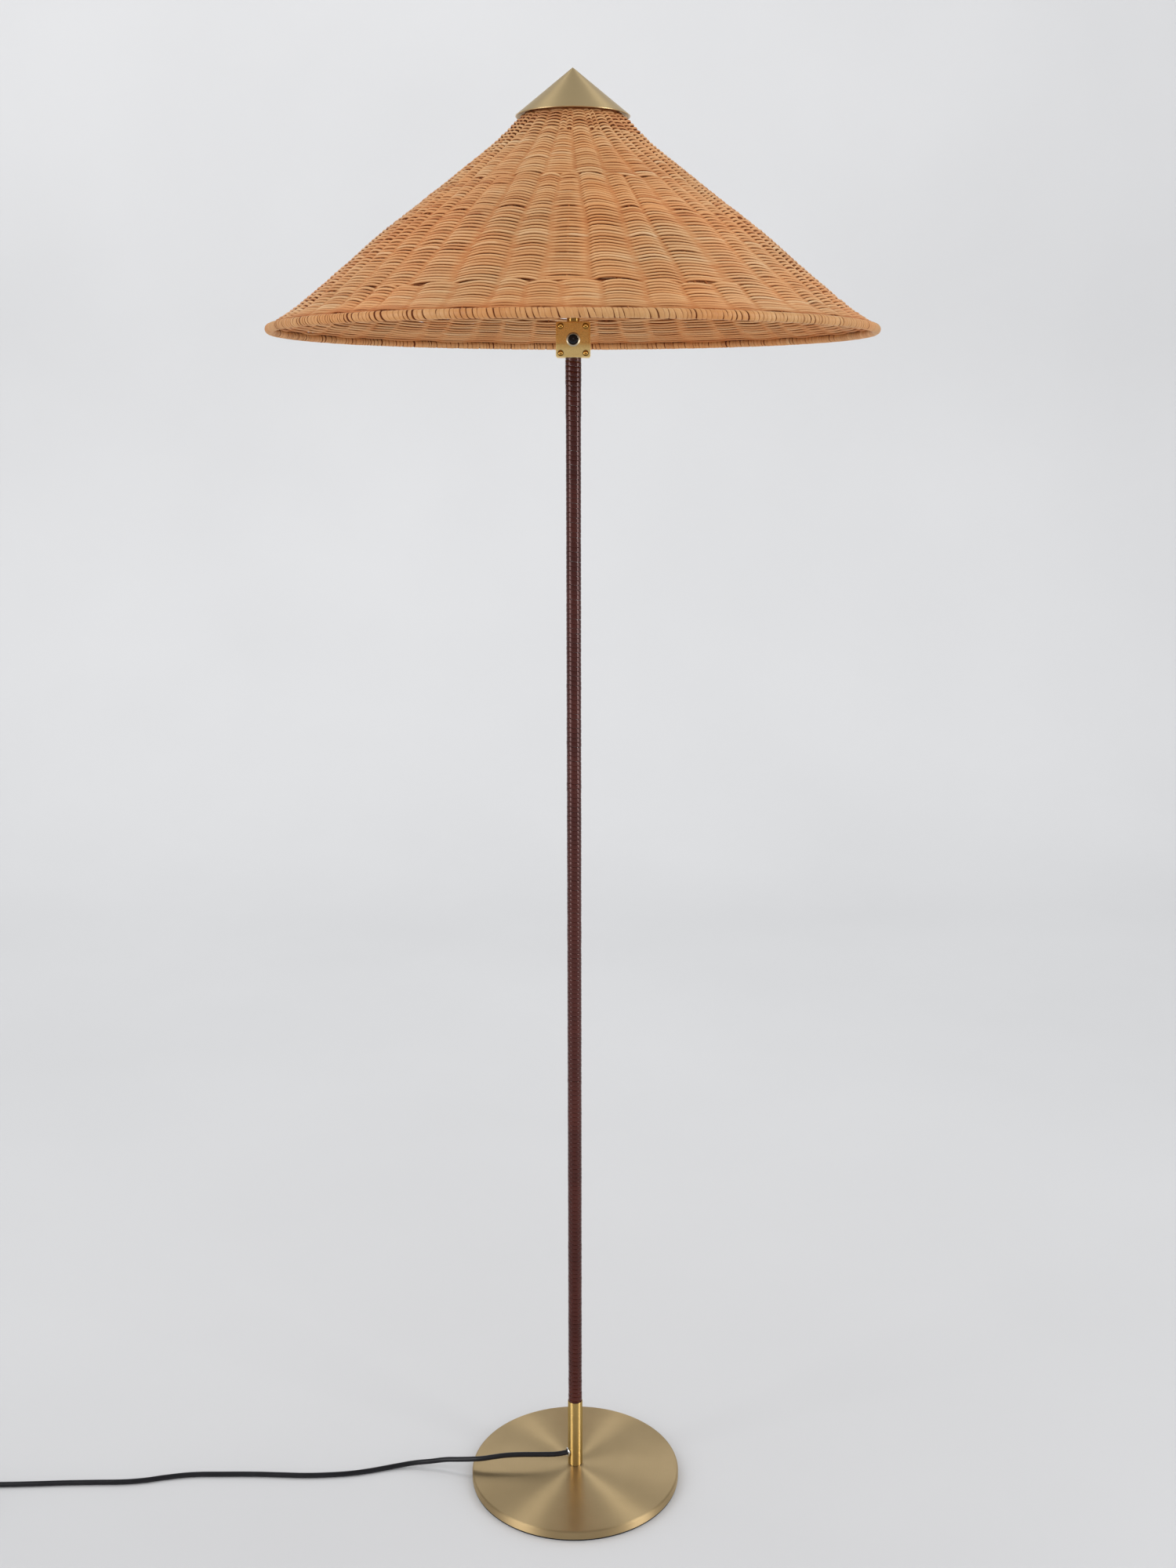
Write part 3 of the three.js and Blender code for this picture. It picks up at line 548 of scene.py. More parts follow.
def loose(name, data):
    """A helper object from (points, faces), used only to cut others."""
    me = bpy.data.meshes.new(name)
    me.from_pydata([tuple(v) for v in data[0]], [], [list(f) for f in data[1]])
    bm = bmesh.new()
    bm.from_mesh(me)
    bmesh.ops.recalc_face_normals(bm, faces=bm.faces)
    bm.to_mesh(me)
    bm.free()
    ob = bpy.data.objects.new(name, me)
    scene.collection.objects.link(ob)
    return ob


def carve(ob, cutters):
    for c in cutters:
        m = ob.modifiers.new("cut", "BOOLEAN")
        m.operation = "DIFFERENCE"
        m.solver = "EXACT"
        m.object = c
    dg = bpy.context.evaluated_depsgraph_get()
    me = bpy.data.meshes.new_from_object(ob.evaluated_get(dg))
    ob.modifiers.clear()
    old = ob.data
    ob.data = me
    bpy.data.meshes.remove(old)
    for c in cutters:
        data = c.data
        bpy.data.objects.remove(c)
        bpy.data.meshes.remove(data)
    return ob


def rounded_rect(w, h, r, cx=0.0, cz=0.0, k=6):
    pts = []
    for sx, sz, a0 in ((1, 1, 0), (-1, 1, 90), (-1, -1, 180), (1, -1, 270)):
        for i in range(k + 1):
            a = math.radians(a0 + 90 * i / k)
            pts.append((cx + sx * (w / 2 - r) + r * math.cos(a), cz + sz * (h / 2 - r) + r * math.sin(a)))
    return pts


def front(outline, n=48):
    """A profile of (radius, distance in front of the block's centre plane) turned about -Y."""
    v, f = lathe(outline, n)
    return [(x, -z, y) for x, y, z in v], f


def shifted(data, x=0.0, y=0.0, z=0.0):
    return [(a + x * MM, b + y * MM, c + z * MM) for a, b, c in data[0]], data[1]


# ---------------------------------------------------------------- cord
CORD_D = 0.0056
EXIT_Z = 30.4
ex = np.array([-math.cos(math.radians(22)), -math.sin(math.radians(22)), 0.0])
route = [
    (*(ex * 6.0)[:2], EXIT_Z), (*(ex * 10.5)[:2], EXIT_Z), (-21.0, -6.4, 29.9), (-40.5, -6.0, 29.0), (-64.0, -4.4, 27.7),
    (-79.8, -3.6, 26.2), (-93.2, -3.6, 24.3), (-106.5, -3.6, 22.1), (-119.0, -1.2, 19.7), (-134.8, 3.0, 16.5), (-149.0, 7.2, 13.4),
    (-167.2, 9.8, 9.4), (-186.0, 11.8, 6.0), (-204.4, 10.0, 3.8), (-222.0, 5.8, 2.9), (-240.3, 0.6, 2.8), (-258.0, -3.2, 2.8),
    (-275.5, -5.4, 2.8), (-308.5, -7.1, 2.8), (-337.9, -6.0, 2.8), (-367.9, -4.8, 2.8), (-404.3, -4.8, 2.8), (-441.1, -5.8, 2.8),
    (-469.4, -10.7, 2.8), (-490.4, -15.8, 2.8), (-511.2, -18.7, 2.8), (-547.6, -19.8, 2.8), (-583.0, -20.8, 2.8),
    (-618.9, -22.6, 2.8), (-655.2, -23.8, 2.8), (-687.6, -24.0, 3.0)]
COIL_C = (-712.0, -68.815)
PITCH, R_IN, LOW, HIGH, N_LOW, N_RISE, N_TOP = 5.7, 22.585, 3.7, 9.4, 3.9, 0.42, 3.93
coil = []
steps = int(round((N_LOW + N_RISE + N_TOP) * 16))
for i in range(steps + 1):
    turn = (N_LOW + N_RISE + N_TOP) * i / steps
    if turn <= N_LOW:
        r, z = 44.815 - PITCH * turn, LOW
    elif turn <= N_LOW + N_RISE:
        u = (turn - N_LOW) / N_RISE
        r, z = R_IN, LOW + (HIGH - LOW) * u * u * (3 - 2 * u)
    else:
        r, z = R_IN + PITCH * (turn - N_LOW - N_RISE), HIGH
    a = math.radians(90) + 2 * math.pi * turn
    coil.append((COIL_C[0] + r * math.cos(a), COIL_C[1] + r * math.sin(a), z))
tail = [(-757.0, -93.0, 8.9), (-757.0, -102.8, 7.8), (-757.0, -112.8, 7.0), (-757.0, -120.5, 6.85)]
line = route + coil + tail
cu = bpy.data.curves.new("mains_cord", "CURVE")
cu.dimensions = "3D"
cu.bevel_depth = CORD_D / 2
cu.bevel_resolution = 5
cu.resolution_u = 6
cu.use_fill_caps = True
sp = cu.splines.new("BEZIER")
sp.bezier_points.add(len(line) - 1)
for bp, p in zip(sp.bezier_points, line):
    bp.co = Vector(p) * MM
    bp.handle_left_type = bp.handle_right_type = "AUTO"
cu.materials.append(M["cord"])
mains = bpy.data.objects.new("mains_cord", cu)
scene.collection.objects.link(mains)
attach(mains, "stand")
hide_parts("cord", "cord_coil", "cord_tail")

# tie: a flat rubber strap round the turns, with a stud through its end
tie_path = rounded_rect(30.1, 12.7, 3.2, 33.6, 6.7, 8)
tp = np.array([(x, 0, z) for x, z in tie_path]) * MM
tn = np.roll(tp, -1, 0) - np.roll(tp, 1, 0)
tn = np.stack([tn[:, 2], tn[:, 1], -tn[:, 0]], 1)
tn /= np.linalg.norm(tn, axis=1)[:, None]
tb = np.tile([0.0, 1.0, 0.0], (len(tp), 1))
strap = np.array(soften([(-0.3, -3.5), (0.35, -3.5), (0.35, 3.5), (-0.3, 3.5)], 0.2, 2)) * MM
tv, tf = sweep(tp, tn, tb, strap, True)
place = Matrix.Translation((COIL_C[0] * MM, COIL_C[1] * MM, 0)) @ Matrix.Rotation(math.radians(-60), 4, "Z")
tie = piece("cord_tie", tv, tf, "stand", "rubber", ["coil_tie"], placed=place)

# plug: tapered strain relief with grip rings, flat body, two round pins
plug_at = Matrix.Translation((-0.757, -0.1188, 0.00685)) @ Matrix.Rotation(math.pi / 2, 4, "X")
prof = [(0, 0.05), (2.95, 0.05), (3.35, 0.4)]
for i in range(7):
    z = 1.6 + i * 2.6
    r = 3.45 + 0.052 * (z - 1.6)
    prof += [(r, z), (r - 0.45, z + 0.35), (r - 0.4, z + 1.0), (r + 0.1, z + 1.35)]
prof += [(4.6, 20.3), (4.85, 21.7), (0, 21.7)]
relief = turned("plug_strain_relief", prof, "stand", "cord", ["plug_sleeve"], 48, 0.15, placed=plug_at)
outline = [(-7, 22), (7, 22)]
for t in np.linspace(0.1, 1, 12):
    outline.append(((1 - t) ** 2 * 7 + 2 * t * (1 - t) * 9 + t * t * 17.2, (1 - t) ** 2 * 22 + 2 * t * (1 - t) * 36 + t * t * 42))
outline += [(17.2, 58), (-17.2, 58)]
for t in np.linspace(1, 0.1, 12):
    outline.append((-((1 - t) ** 2 * 7 + 2 * t * (1 - t) * 9 + t * t * 17.2), (1 - t) ** 2 * 22 + 2 * t * (1 - t) * 36 + t * t * 42))
bm = slab(soften(outline, [1.5, 1.5] + [0] * 11 + [2.0, 1.6, 1.6, 2.0] + [0] * 11, 4), -6.7, 6.7, 2.2, 5)
body = from_bmesh("plug_housing", bm)
finish_piece(body, None, "plastic", (), 30)
body.data.transform(plug_at)
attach(body, "stand"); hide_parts("plug_body")
for s, side in ((-1, "left"), (1, "right")):
    v, f = lathe(soften([(0, 58.3), (2.0, 58.3), (2.0, 75.9), (1.3, 77.25), (0, 77.3)], 0.4), 32)
    piece(f"plug_contact_{side}", *shifted((v, f), s * 9.3), "stand", "nickel", [f"plug_pin_{side}"], placed=plug_at)

# ---------------------------------------------------------------- base
EDGE, TOP, RB = 11.0, 14.8, 118.0


def dome(r, drop=0.0):
    return EDGE + (TOP - EDGE) * (1 - (r / (RB - 0.8)) ** 2) - drop


outer = [(RB, 1.8), (RB, 9.1), (117.9, 9.7), (117.55, 10.3), (117.0, 10.75), (116.1, dome(116.1))] + [(r, dome(r)) for r in (112, 104, 94, 82, 68, 54, 40, 26, 12)] + [(5.5, dome(5.5))]
inner = [(5.5, dome(5.5, 1.2))] + [(r, dome(r, 1.2)) for r in (26, 54, 82, 104)] + [(RB - 1.2, 9.4), (RB - 1.2, 1.8)]
turned("base_disc", outer + inner, "stand", "base", ["base_cover"], 240, 0.28)
turned("base_pad", [(20, 0), (117.4, 0), (117.4, 1.75), (20, 1.75)], "stand", "rubber", ["floor_pad"], 240, 0.2)

# ---------------------------------------------------------------- pole
sv = lathe(soften([(5.25, 15.1), (7.6, 15.1), (8.2, 15.75), (8.2, 94.45), (8.02, 94.7), (7.85, 94.7), (7.85, 86), (6.3, 86), (6.3, 24.6),
                   (5.25, 24.6)], 0.22, keep=(3, 5)), 128)
sleeve = loose("foot_sleeve", sv)
yaw = math.atan2(ex[1], ex[0])
along = Matrix.Translation((0, 0, EXIT_Z * MM)) @ Matrix.Rotation(yaw, 4, "Z") @ Matrix.Rotation(math.pi / 2, 4, "Y")
bore = loose("bore", lathe([(0, 4), (3.6, 4), (3.6, 12), (0, 12)], 40))
bore.data.transform(along)
carve(sleeve, [bore])
finish_piece(sleeve, "stand", "brass", ["pole_sleeve"], 32)
turned("exit_eyelet", [(3.15, 6.6), (3.42, 6.6), (3.42, 8.45), (5.0, 8.45), (5.15, 9.0), (4.5, 10.0), (3.7, 10.2), (3.15, 9.6)],
       "stand", "nickel", ["cord_eyelet"], 64, 0.5, keep=(0, 1, 2), placed=along)

# leather strip wound round the steel tube, its turns falling to the right across the front
z0, z1 = 1249.6, 84.0


def pitch_at(z):
    return np.interp(z, [100, 650, 1230], [5.15, 5.0, 4.8])


rng = np.random.default_rng(11)
zt, turn_z = z0, [z0]
while zt > z1 + 2:
    zt -= pitch_at(zt) * (1 + 0.035 * rng.standard_normal())
    turn_z.append(zt)
turns = len(turn_z) - 1
SEG = 28
t = np.arange(turns * SEG + 1) / SEG
zc = np.interp(t, np.arange(len(turn_z)), turn_z)
kernel = np.hanning(SEG + 3)
zc[SEG:-SEG] = np.convolve(zc, kernel / kernel.sum(), "same")[SEG:-SEG]
width = -np.gradient(zc, t)
ang = 2 * math.pi * t - math.pi / 2
swell = np.interp(t, np.arange(turns + 1), 0.07 * rng.standard_normal(turns + 1))
lap = np.clip((zc - 1186) / 6, 0, 1) * 0.32 + np.clip((zc - 1218) / 4, 0, 1) * 0.12
lap += np.where(zc < 104, np.where(zc > 96.5, 0.28, -0.02), 0)
w = np.array([-0.49, -0.485, -0.465, -0.42, -0.30, -0.12, 0.10, 0.29, 0.42, 0.465, 0.485, 0.49])
rr = np.array([7.20, 7.33, 7.44, 7.535, 7.60, 7.635, 7.64, 7.61, 7.54, 7.44, 7.33, 7.20])
w = np.concatenate([w, [0.45, -0.45]])
rr = np.concatenate([rr, [6.28, 6.28]])
grow = (rr - 6.28) / (7.67 - 6.28)
R = rr[None, :] + grow[None, :] * (swell + lap)[:, None]
R = np.minimum(R, np.where(zc < 95.6, 7.78, 99)[:, None])
Z = zc[:, None] - w[None, :] * width[:, None]
Z = np.clip(Z, 87.0, 1245.1)
V = np.stack([R * np.cos(ang)[:, None], R * np.sin(ang)[:, None], Z], -1) * MM
n, m = len(t), len(w)
I, J = np.meshgrid(np.arange(n - 1), np.arange(m), indexing="ij")
F = np.stack([I * m + J, (I + 1) * m + J, (I + 1) * m + (J + 1) % m, I * m + (J + 1) % m], -1).reshape(-1, 4)
tint = 0.5 + 0.16 * np.interp(t, np.arange(0, turns + 9, 3.0), rng.standard_normal(len(np.arange(0, turns + 9, 3.0))))
# painted shade in the creases between the turns
crease_painted_shade = np.concatenate([[0.4, 0.18, 0.05], [0] * 6, [0.05, 0.18, 0.4, 0.6, 0.6]])
piece("leather_strip", V.reshape(-1, 3), capped(F, n, m), "stand", "leather", ["leather_wrap"], 60,
      tint=np.clip(tint[:, None] - 0.2 * crease_painted_shade[None, :], 0, 1).ravel())

# ---------------------------------------------------------------- switch block
BZ = 1262.4
screw_at = [(-12.3, 12.9), (12.3, 12.9), (-12.3, -12.9), (12.3, -12.9)]
box = from_bmesh("switch_case", slab(rounded_rect(34, 34, 1.9, 0, BZ), -11.7, 14, 0.45, 3))
hole = loose("pocket", shifted(front([(0, -11), (12.5, -11), (12.5, 20), (0, 20)], 48), 0, 0, BZ))
low = loose("low", ([(x, y, z) for x, y, z in lathe([(0, BZ - 24), (6.3, BZ - 24), (6.3, BZ - 8), (0, BZ - 8)], 48)[0]],
                    lathe([(0, 1), (1, 1), (1, 2), (0, 2)], 48)[1]))
high = loose("high", (lathe([(0, BZ + 8), (6.6, BZ + 8), (6.6, BZ + 24), (0, BZ + 24)], 48)[0], lathe([(0, 1), (1, 1), (1, 2), (0, 2)], 48)[1]))
carve(box, [hole, low, high])
finish_piece(box, "stand", "plate", ["switch_box"], 30)
plate = from_bmesh("switch_face", slab(rounded_rect(34, 34, 1.9, 0, BZ), -14, -12, 0.42, 3))
cuts = [loose("c0", shifted(front([(0, 10), (5.75, 10), (5.75, 15), (0, 15)], 64), 0, 0, BZ))]
for i, (x, z) in enumerate(screw_at):
    cuts.append(loose(f"c{i + 1}", shifted(front([(0, 10), (1.6, 10), (1.6, 12.1), (2.95, 13.7), (2.95, 15.0), (0, 15.0)], 40), x, 0, BZ + z)))
carve(plate, cuts)
finish_piece(plate, "stand", "plate", ["switch_plate"], 28)
for i, (x, z) in enumerate(screw_at):
    s = loose("s", shifted(front(soften([(0, 4.2), (1.05, 4.2), (1.25, 4.6), (1.25, 12.3), (2.38, 13.5), (2.38, 13.82), (2.12, 14.18),
                                         (1.6, 14.46), (1.12, 14.58), (0.62, 14.22), (0, 13.98)], 0.16, keep=(1, 2, 3)), 40), x, 0, BZ + z))
    turn = (0.3, 1.0, 0.55, 0.8)[i]
    hexv = [(0.62 * math.cos(math.radians(60 * k) + turn), 0.62 * math.sin(math.radians(60 * k) + turn)) for k in range(6)]
    key = from_bmesh("key", slab([(x + a, BZ + z + b) for a, b in hexv], -15.5, -13.4, 0))
    carve(s, [key])
    s.name = f"face_screw_{i + 1}"
    finish_piece(s, "stand", "screw", [f"plate_screw_{i + 1}"], 28)
bv = shifted(front(soften([(0, 6.0), (2.2, 6.0), (2.2, 10.0), (6.3, 10.0), (6.3, 11.5), (4.7, 11.5), (4.7, 14.3), (4.25, 14.95),
                           (3.1, 15.32), (1.6, 15.47), (1.05, 15.49), (0.5, 15.2), (0, 15.08)], 0.25), 72), 0, 0, BZ)
piece("push_button", *bv, "button", "plastic", ["switch_button"], 40)
cv = shifted(front(soften([(5.0, 12.1), (5.45, 12.1), (5.45, 14.02), (6.85, 14.02), (6.85, 14.25), (5.5, 15.22), (5.2, 15.25),
                           (5.0, 15.05)], 0.18, keep=(0, 1, 2)), 96), 0, 0, BZ)
piece("button_ring", *cv, "stand", "ring", ["button_collar"], 50)
turned("neck", [(5.2, 1275.4), (6.3, 1275.4), (6.3, 1312), (5.2, 1312)], "stand", "neck", ["neck_tube"], 72, 0.2)

# ---------------------------------------------------------------- lampholder and harp
saddle = []
for sx, a0 in ((1, -90), (-1, 90)):
    for i in range(13):
        a = math.radians(a0 + 180 * i / 12)
        saddle.append((sx * 20.1 + 5.9 * math.cos(a), 5.9 * math.sin(a)))
bm = slab(saddle, 0, 2.0, 0.3, 2)
sd = from_bmesh("harp_seat", bm)
sd.data.transform(Matrix.Translation((0, 0, 1.3143)) @ Matrix.Rotation(-math.pi / 2, 4, "X"))
carve(sd, [loose("h", lathe([(0, 1308), (5.2, 1308), (5.2, 1318), (0, 1318)], 40))])
finish_piece(sd, "stand", "brass", ["harp_saddle"], 30)
turned("cup", [(5.2, 1317.6), (10.5, 1317.6), (15.6, 1322.2), (17.6, 1327), (17.6, 1337.6), (16.4, 1337.6), (16.4, 1327.4), (14.8, 1323.4),
               (10.0, 1319.0), (5.2, 1319.0)], "stand", "brass", ["holder_cup"], 96, 1.6, keep=(0, 4, 5, 9))
turned("skirt", [(16.4, 1337.9), (18.6, 1337.9), (19.6, 1339.5), (19.6, 1366.4), (18.9, 1367.2), (14.8, 1367.2), (14.8, 1365.4),
                 (17.4, 1365.4), (17.4, 1340.4), (16.4, 1340.4)], "stand", "plastic", ["holder_skirt"], 96, 0.35)
side = [(20.5, 1316.4), (22.5, 1323), (29, 1336), (38.5, 1352), (45, 1371), (47, 1390), (46, 1409), (41, 1427), (31.5, 1443), (18, 1454.2),
        (8, 1458.3), (0, 1459)]
rod("harp_wire", [(x, 0, z) for x, z in side] + [(-x, 0, z) for x, z in side[:-1][::-1]], 2.0, "stand", "brass", ["harp"], 16, 6)
turned("stud", [(0, 1461.3), (6.0, 1461.3), (6.0, 1465.0), (2.9, 1465.0)]
       + [p for i in range(22) for p in ((2.9, 1465.6 + 0.75 * i), (2.45, 1465.97 + 0.75 * i))] + [(2.5, 1482.4), (1.9, 1483.0), (0, 1483.0)],
       "stand", "bright", ["harp_stud"], 48, 0.15, keep=range(4, 48))
turned("bulb_base", [(0, 1341.8), (4.6, 1341.8), (5.2, 1343.2), (11.0, 1346.2), (12.4, 1347.0)]
       + [p for i in range(5) for p in ((13.1, 1349.3 + 3.4 * i), (12.3, 1351.0 + 3.4 * i))] + [(12.6, 1368.6), (0, 1368.6)],
       "bulb", "nickel", ["bulb_cap"], 72, 1.2, keep=(0,))
glass = spline([(12.8, 1368.9), (14.8, 1376), (19.2, 1386.6), (24.0, 1397), (28.2, 1408.6), (30, 1420), (28.3, 1432.0), (23.6, 1441.2),
                (16.4, 1447.2), (8.3, 1449.7), (0, 1450)], 4)
thick = [(max(0.0, x - 0.95), z - (0.95 if x < 5 else 0.25)) for x, z in glass[::-1]]
thick[0] = (0.0, 1449.05)
turned("bulb_globe", [tuple(p) for p in glass] + thick, "bulb", "opal", ["bulb_glass"], 96, 0)

# ---------------------------------------------------------------- shade
HUB = 1465.3
hub = lathe(soften([(3.3, HUB), (9, HUB), (9, HUB + 2), (3.3, HUB + 2)], 0.3), 64)
ringv = lathe([(48.5 + 1.8 * math.cos(a), 1461.5 + 1.8 * math.sin(a)) for a in np.arange(12) * math.pi / 6], 120)
parts = [hub, ringv]
for d in (90, 210, 330):
    c, s = math.cos(math.radians(d)), math.sin(math.radians(d))
    P = spline([(x * c, x * s, z) for x, z in ((7.5, HUB + 0.6), (20, HUB - 0.2), (34, 1463.3), (48.3, 1461.6))], 6) * MM
    T, N, B = frames(P)
    v, f = sweep(P, N, B, circle(1.3 * MM, 12), False)
    parts.append((v, capped(f, len(P), 12)))
V, F, off = [], [], 0
for v, f in parts:
    me = np.asarray(v, float)
    # each shell faces outwards on its own
    vol = sum(np.dot(me[q[0]], np.cross(me[q[i]], me[q[i + 1]])) for q in f for i in range(1, len(q) - 1))
    F += [[i + off for i in (q if vol > 0 else q[::-1])] for q in f]
    V += [tuple(p) for p in me]
    off += len(me)
piece("shade_frame", V, F, "shade", "brass", ["shade_spider"])

A0, B0 = np.array([294.0, 1275.6]), np.array([52.0, 1468.0])
SL = float(np.linalg.norm(A0 - B0))
td = (A0 - B0) / SL                        # down the slope
nd = np.array([-td[1], td[0]])             # outwards and up
BACK = 360.0
# how far the wall dips inside a straight cone: a waist under the cap, a slight shoulder, then a hollow above the rim
DIP_AT = np.arange(-12.0, 322.0, 0.5)
DIP = np.interp(DIP_AT, [-3, 3, 10, 18, 30, 48, 72, 100, 130, 155, 173, 197, 220, 242, 270, 288, 300, 309],
                [0.0, 0.3, 1.5, 2.5, 3.2, 3.0, 2.3, 2.1, 1.6, 0.7, 0.3, 1.0, 2.1, 2.7, 3.0, 2.9, 1.5, 0.0])
DIP = np.convolve(np.pad(DIP, 12, "edge"), np.hanning(27)[1:-1] / np.hanning(27).sum(), "valid")


def depth_at(s):
    """Depth of the wall's middle below the straight cone, in millimetres, s down the slope."""
    return np.interp(s, [-2.4, 30, 60, 280, SL], [1.9, 2.3, 3.0, 3.0, 2.5]) + np.interp(s, DIP_AT, DIP)


def ringed(front_list, count, seed):
    """Column boundaries in degrees: those of the front as given, the others spread evenly with a little play."""
    r = np.random.default_rng(seed)
    n_rest = count - (len(front_list) - 1)
    lo, hi = front_list[-1], front_list[0] + BACK
    w = 1 + 0.12 * r.standard_normal(n_rest)
    w = np.cumsum(w) / w.sum() * (hi - lo)
    return np.array(list(front_list) + list(lo + w[:-1]))


a_top = [-64.5, -54.6, -45.8, -35.7, -24.1, -10.1, 0.35, 12.6, 22.4, 32.9, 39.5, 51.5, 64]
a_low = [-64.5, -54.6, -45.8, -37.1, -24.1, -10.9, 1.0, 13.3, 27.3, 37.8, 45.8, 55.5, 66]
t_list = [-64.5, -54.6, -45.8, -35.7, -24.1, -10.1, -4.4, 0.35, 12.6, 17.2, 22.4, 32.9, 39.5, 51.5, 64]
b_top = [-52.1, -45.8, -38.5, -30.8, -22.4, -12.2, -4.5, 3.1, 13.3, 20.3, 29.0, 38.8, 45.8, 53.8]
b_low = [-54.5, -47.2, -40.6, -32.2, -23.1, -13.6, -5.6, 4.2, 13.6, 21.7, 31.8, 42.0, 49.6, 57.2]
d_list = [-46.5, -40.9, -35, -28.7, -22, -13.6, -7.7, -1.7, 5.2, 13.6, 21, 27.6, 33.6, 42.7, 49.7, 55.8]
ZONES = [
    (-3.0, 27.0, ringed(t_list, 34, 3), ringed(t_list, 34, 3)),
    (27.0, 104.0, ringed(a_top, 32, 5), ringed(a_low, 32, 5)),
    (104.0, 268.0, ringed(b_top, 42, 8), ringed(b_low, 42, 8)),
    (268.0, 312.0, ringed(d_list, 52, 9), ringed(d_list, 52, 9)),
]
STRONG = [  # relief of the front columns: (from, to degrees, zone, depth of the wave, rise of the rods in the middle)
    (2, -22.4, -12.2, 3.4, 2.6), (2, 3.1, 13.3, 3.3, 2.8), (2, -4.5, 3.1, 1.9, 0.3), (2, -12.2, -4.5, 2.6, 1.6), (2, 13.3, 20.3, 2.9, 2.2),
    (2, 20.3, 29.0, 2.5, 1.5), (2, 29.0, 38.8, 2.3, 0.9), (2, -30.8, -22.4, 2.4, 1.2), (2, -38.5, -30.8, 2.2, 0.7),
    (1, -24.1, -10.1, 3.2, 2.6), (1, 0.35, 12.6, 3.1, 2.4), (1, -10.1, 0.35, 2.0, 0.3), (1, 12.6, 22.4, 2.3, 0.8), (1, -35.7, -24.1, 2.2, 0.5),
    (3, -22, -13.6, 2.8, 2.2), (3, 5.2, 13.6, 2.9, 2.3), (3, 13.6, 21.0, 2.7, 1.8)]
rng = np.random.default_rng(21)
DEPTH, RISE, SKEW = [], [], []
for zi, (s0, s1, top, low) in enumerate(ZONES):
    n = len(top)
    d = 1.95 + 0.3 * rng.standard_normal(n)
    u = np.clip(0.55 + 0.45 * rng.standard_normal(n), 0, 1.6)
    for z, lo, hi, dd, uu in STRONG:
        if z == zi:
            for k in range(n):
                mid = (top[k] + (top[(k + 1) % n] if k + 1 < n else top[0] + BACK)) / 2
                if lo < (mid + 180) % 360 - 180 < hi:
                    d[k], u[k] = 0.8 * dd, 0.75 * uu
    if zi == 0:
        d *= 1.1
        u *= 0.6
    DEPTH.append(np.clip(d, 1.3, 2.8))
    RISE.append(u)
    SKEW.append(np.clip(1 + 0.18 * rng.standard_normal(n), 0.7, 1.4))

# rows of rod, from the top down
rows, s = [], -2.3
while s < SL - 0.3:
    zi = max(i for i, z in enumerate(ZONES) if s >= z[0])
    rows.append((s, zi))
    p = float(np.interp(s, [0, 40, 75, 130, 175, 225, 275, 309], [2.2, 2.24, 2.05, 2.06, 2.26, 2.14, 2.04, 1.95]))
    nxt = s + p * (1 + 0.02 * rng.standard_normal())
    if any(s < z[0] <= nxt for z in ZONES[2:]):
        nxt += 0.04
    if s <= 158.0 < nxt:
        nxt += 0.03
    s = nxt
phase = rng.uniform(0, 2 * math.pi, 12)


def wander(th, s):
    """Slow drift of the rows up and down the slope, shared by neighbours."""
    return (0.55 * np.sin(3 * th + 0.021 * s + phase[0]) + 0.45 * np.sin(7 * th - 0.033 * s + phase[1])
            + 0.4 * np.sin(13 * th + 0.045 * s + phase[2]) + 0.25 * np.sin(29 * th - 0.07 * s + phase[3]))


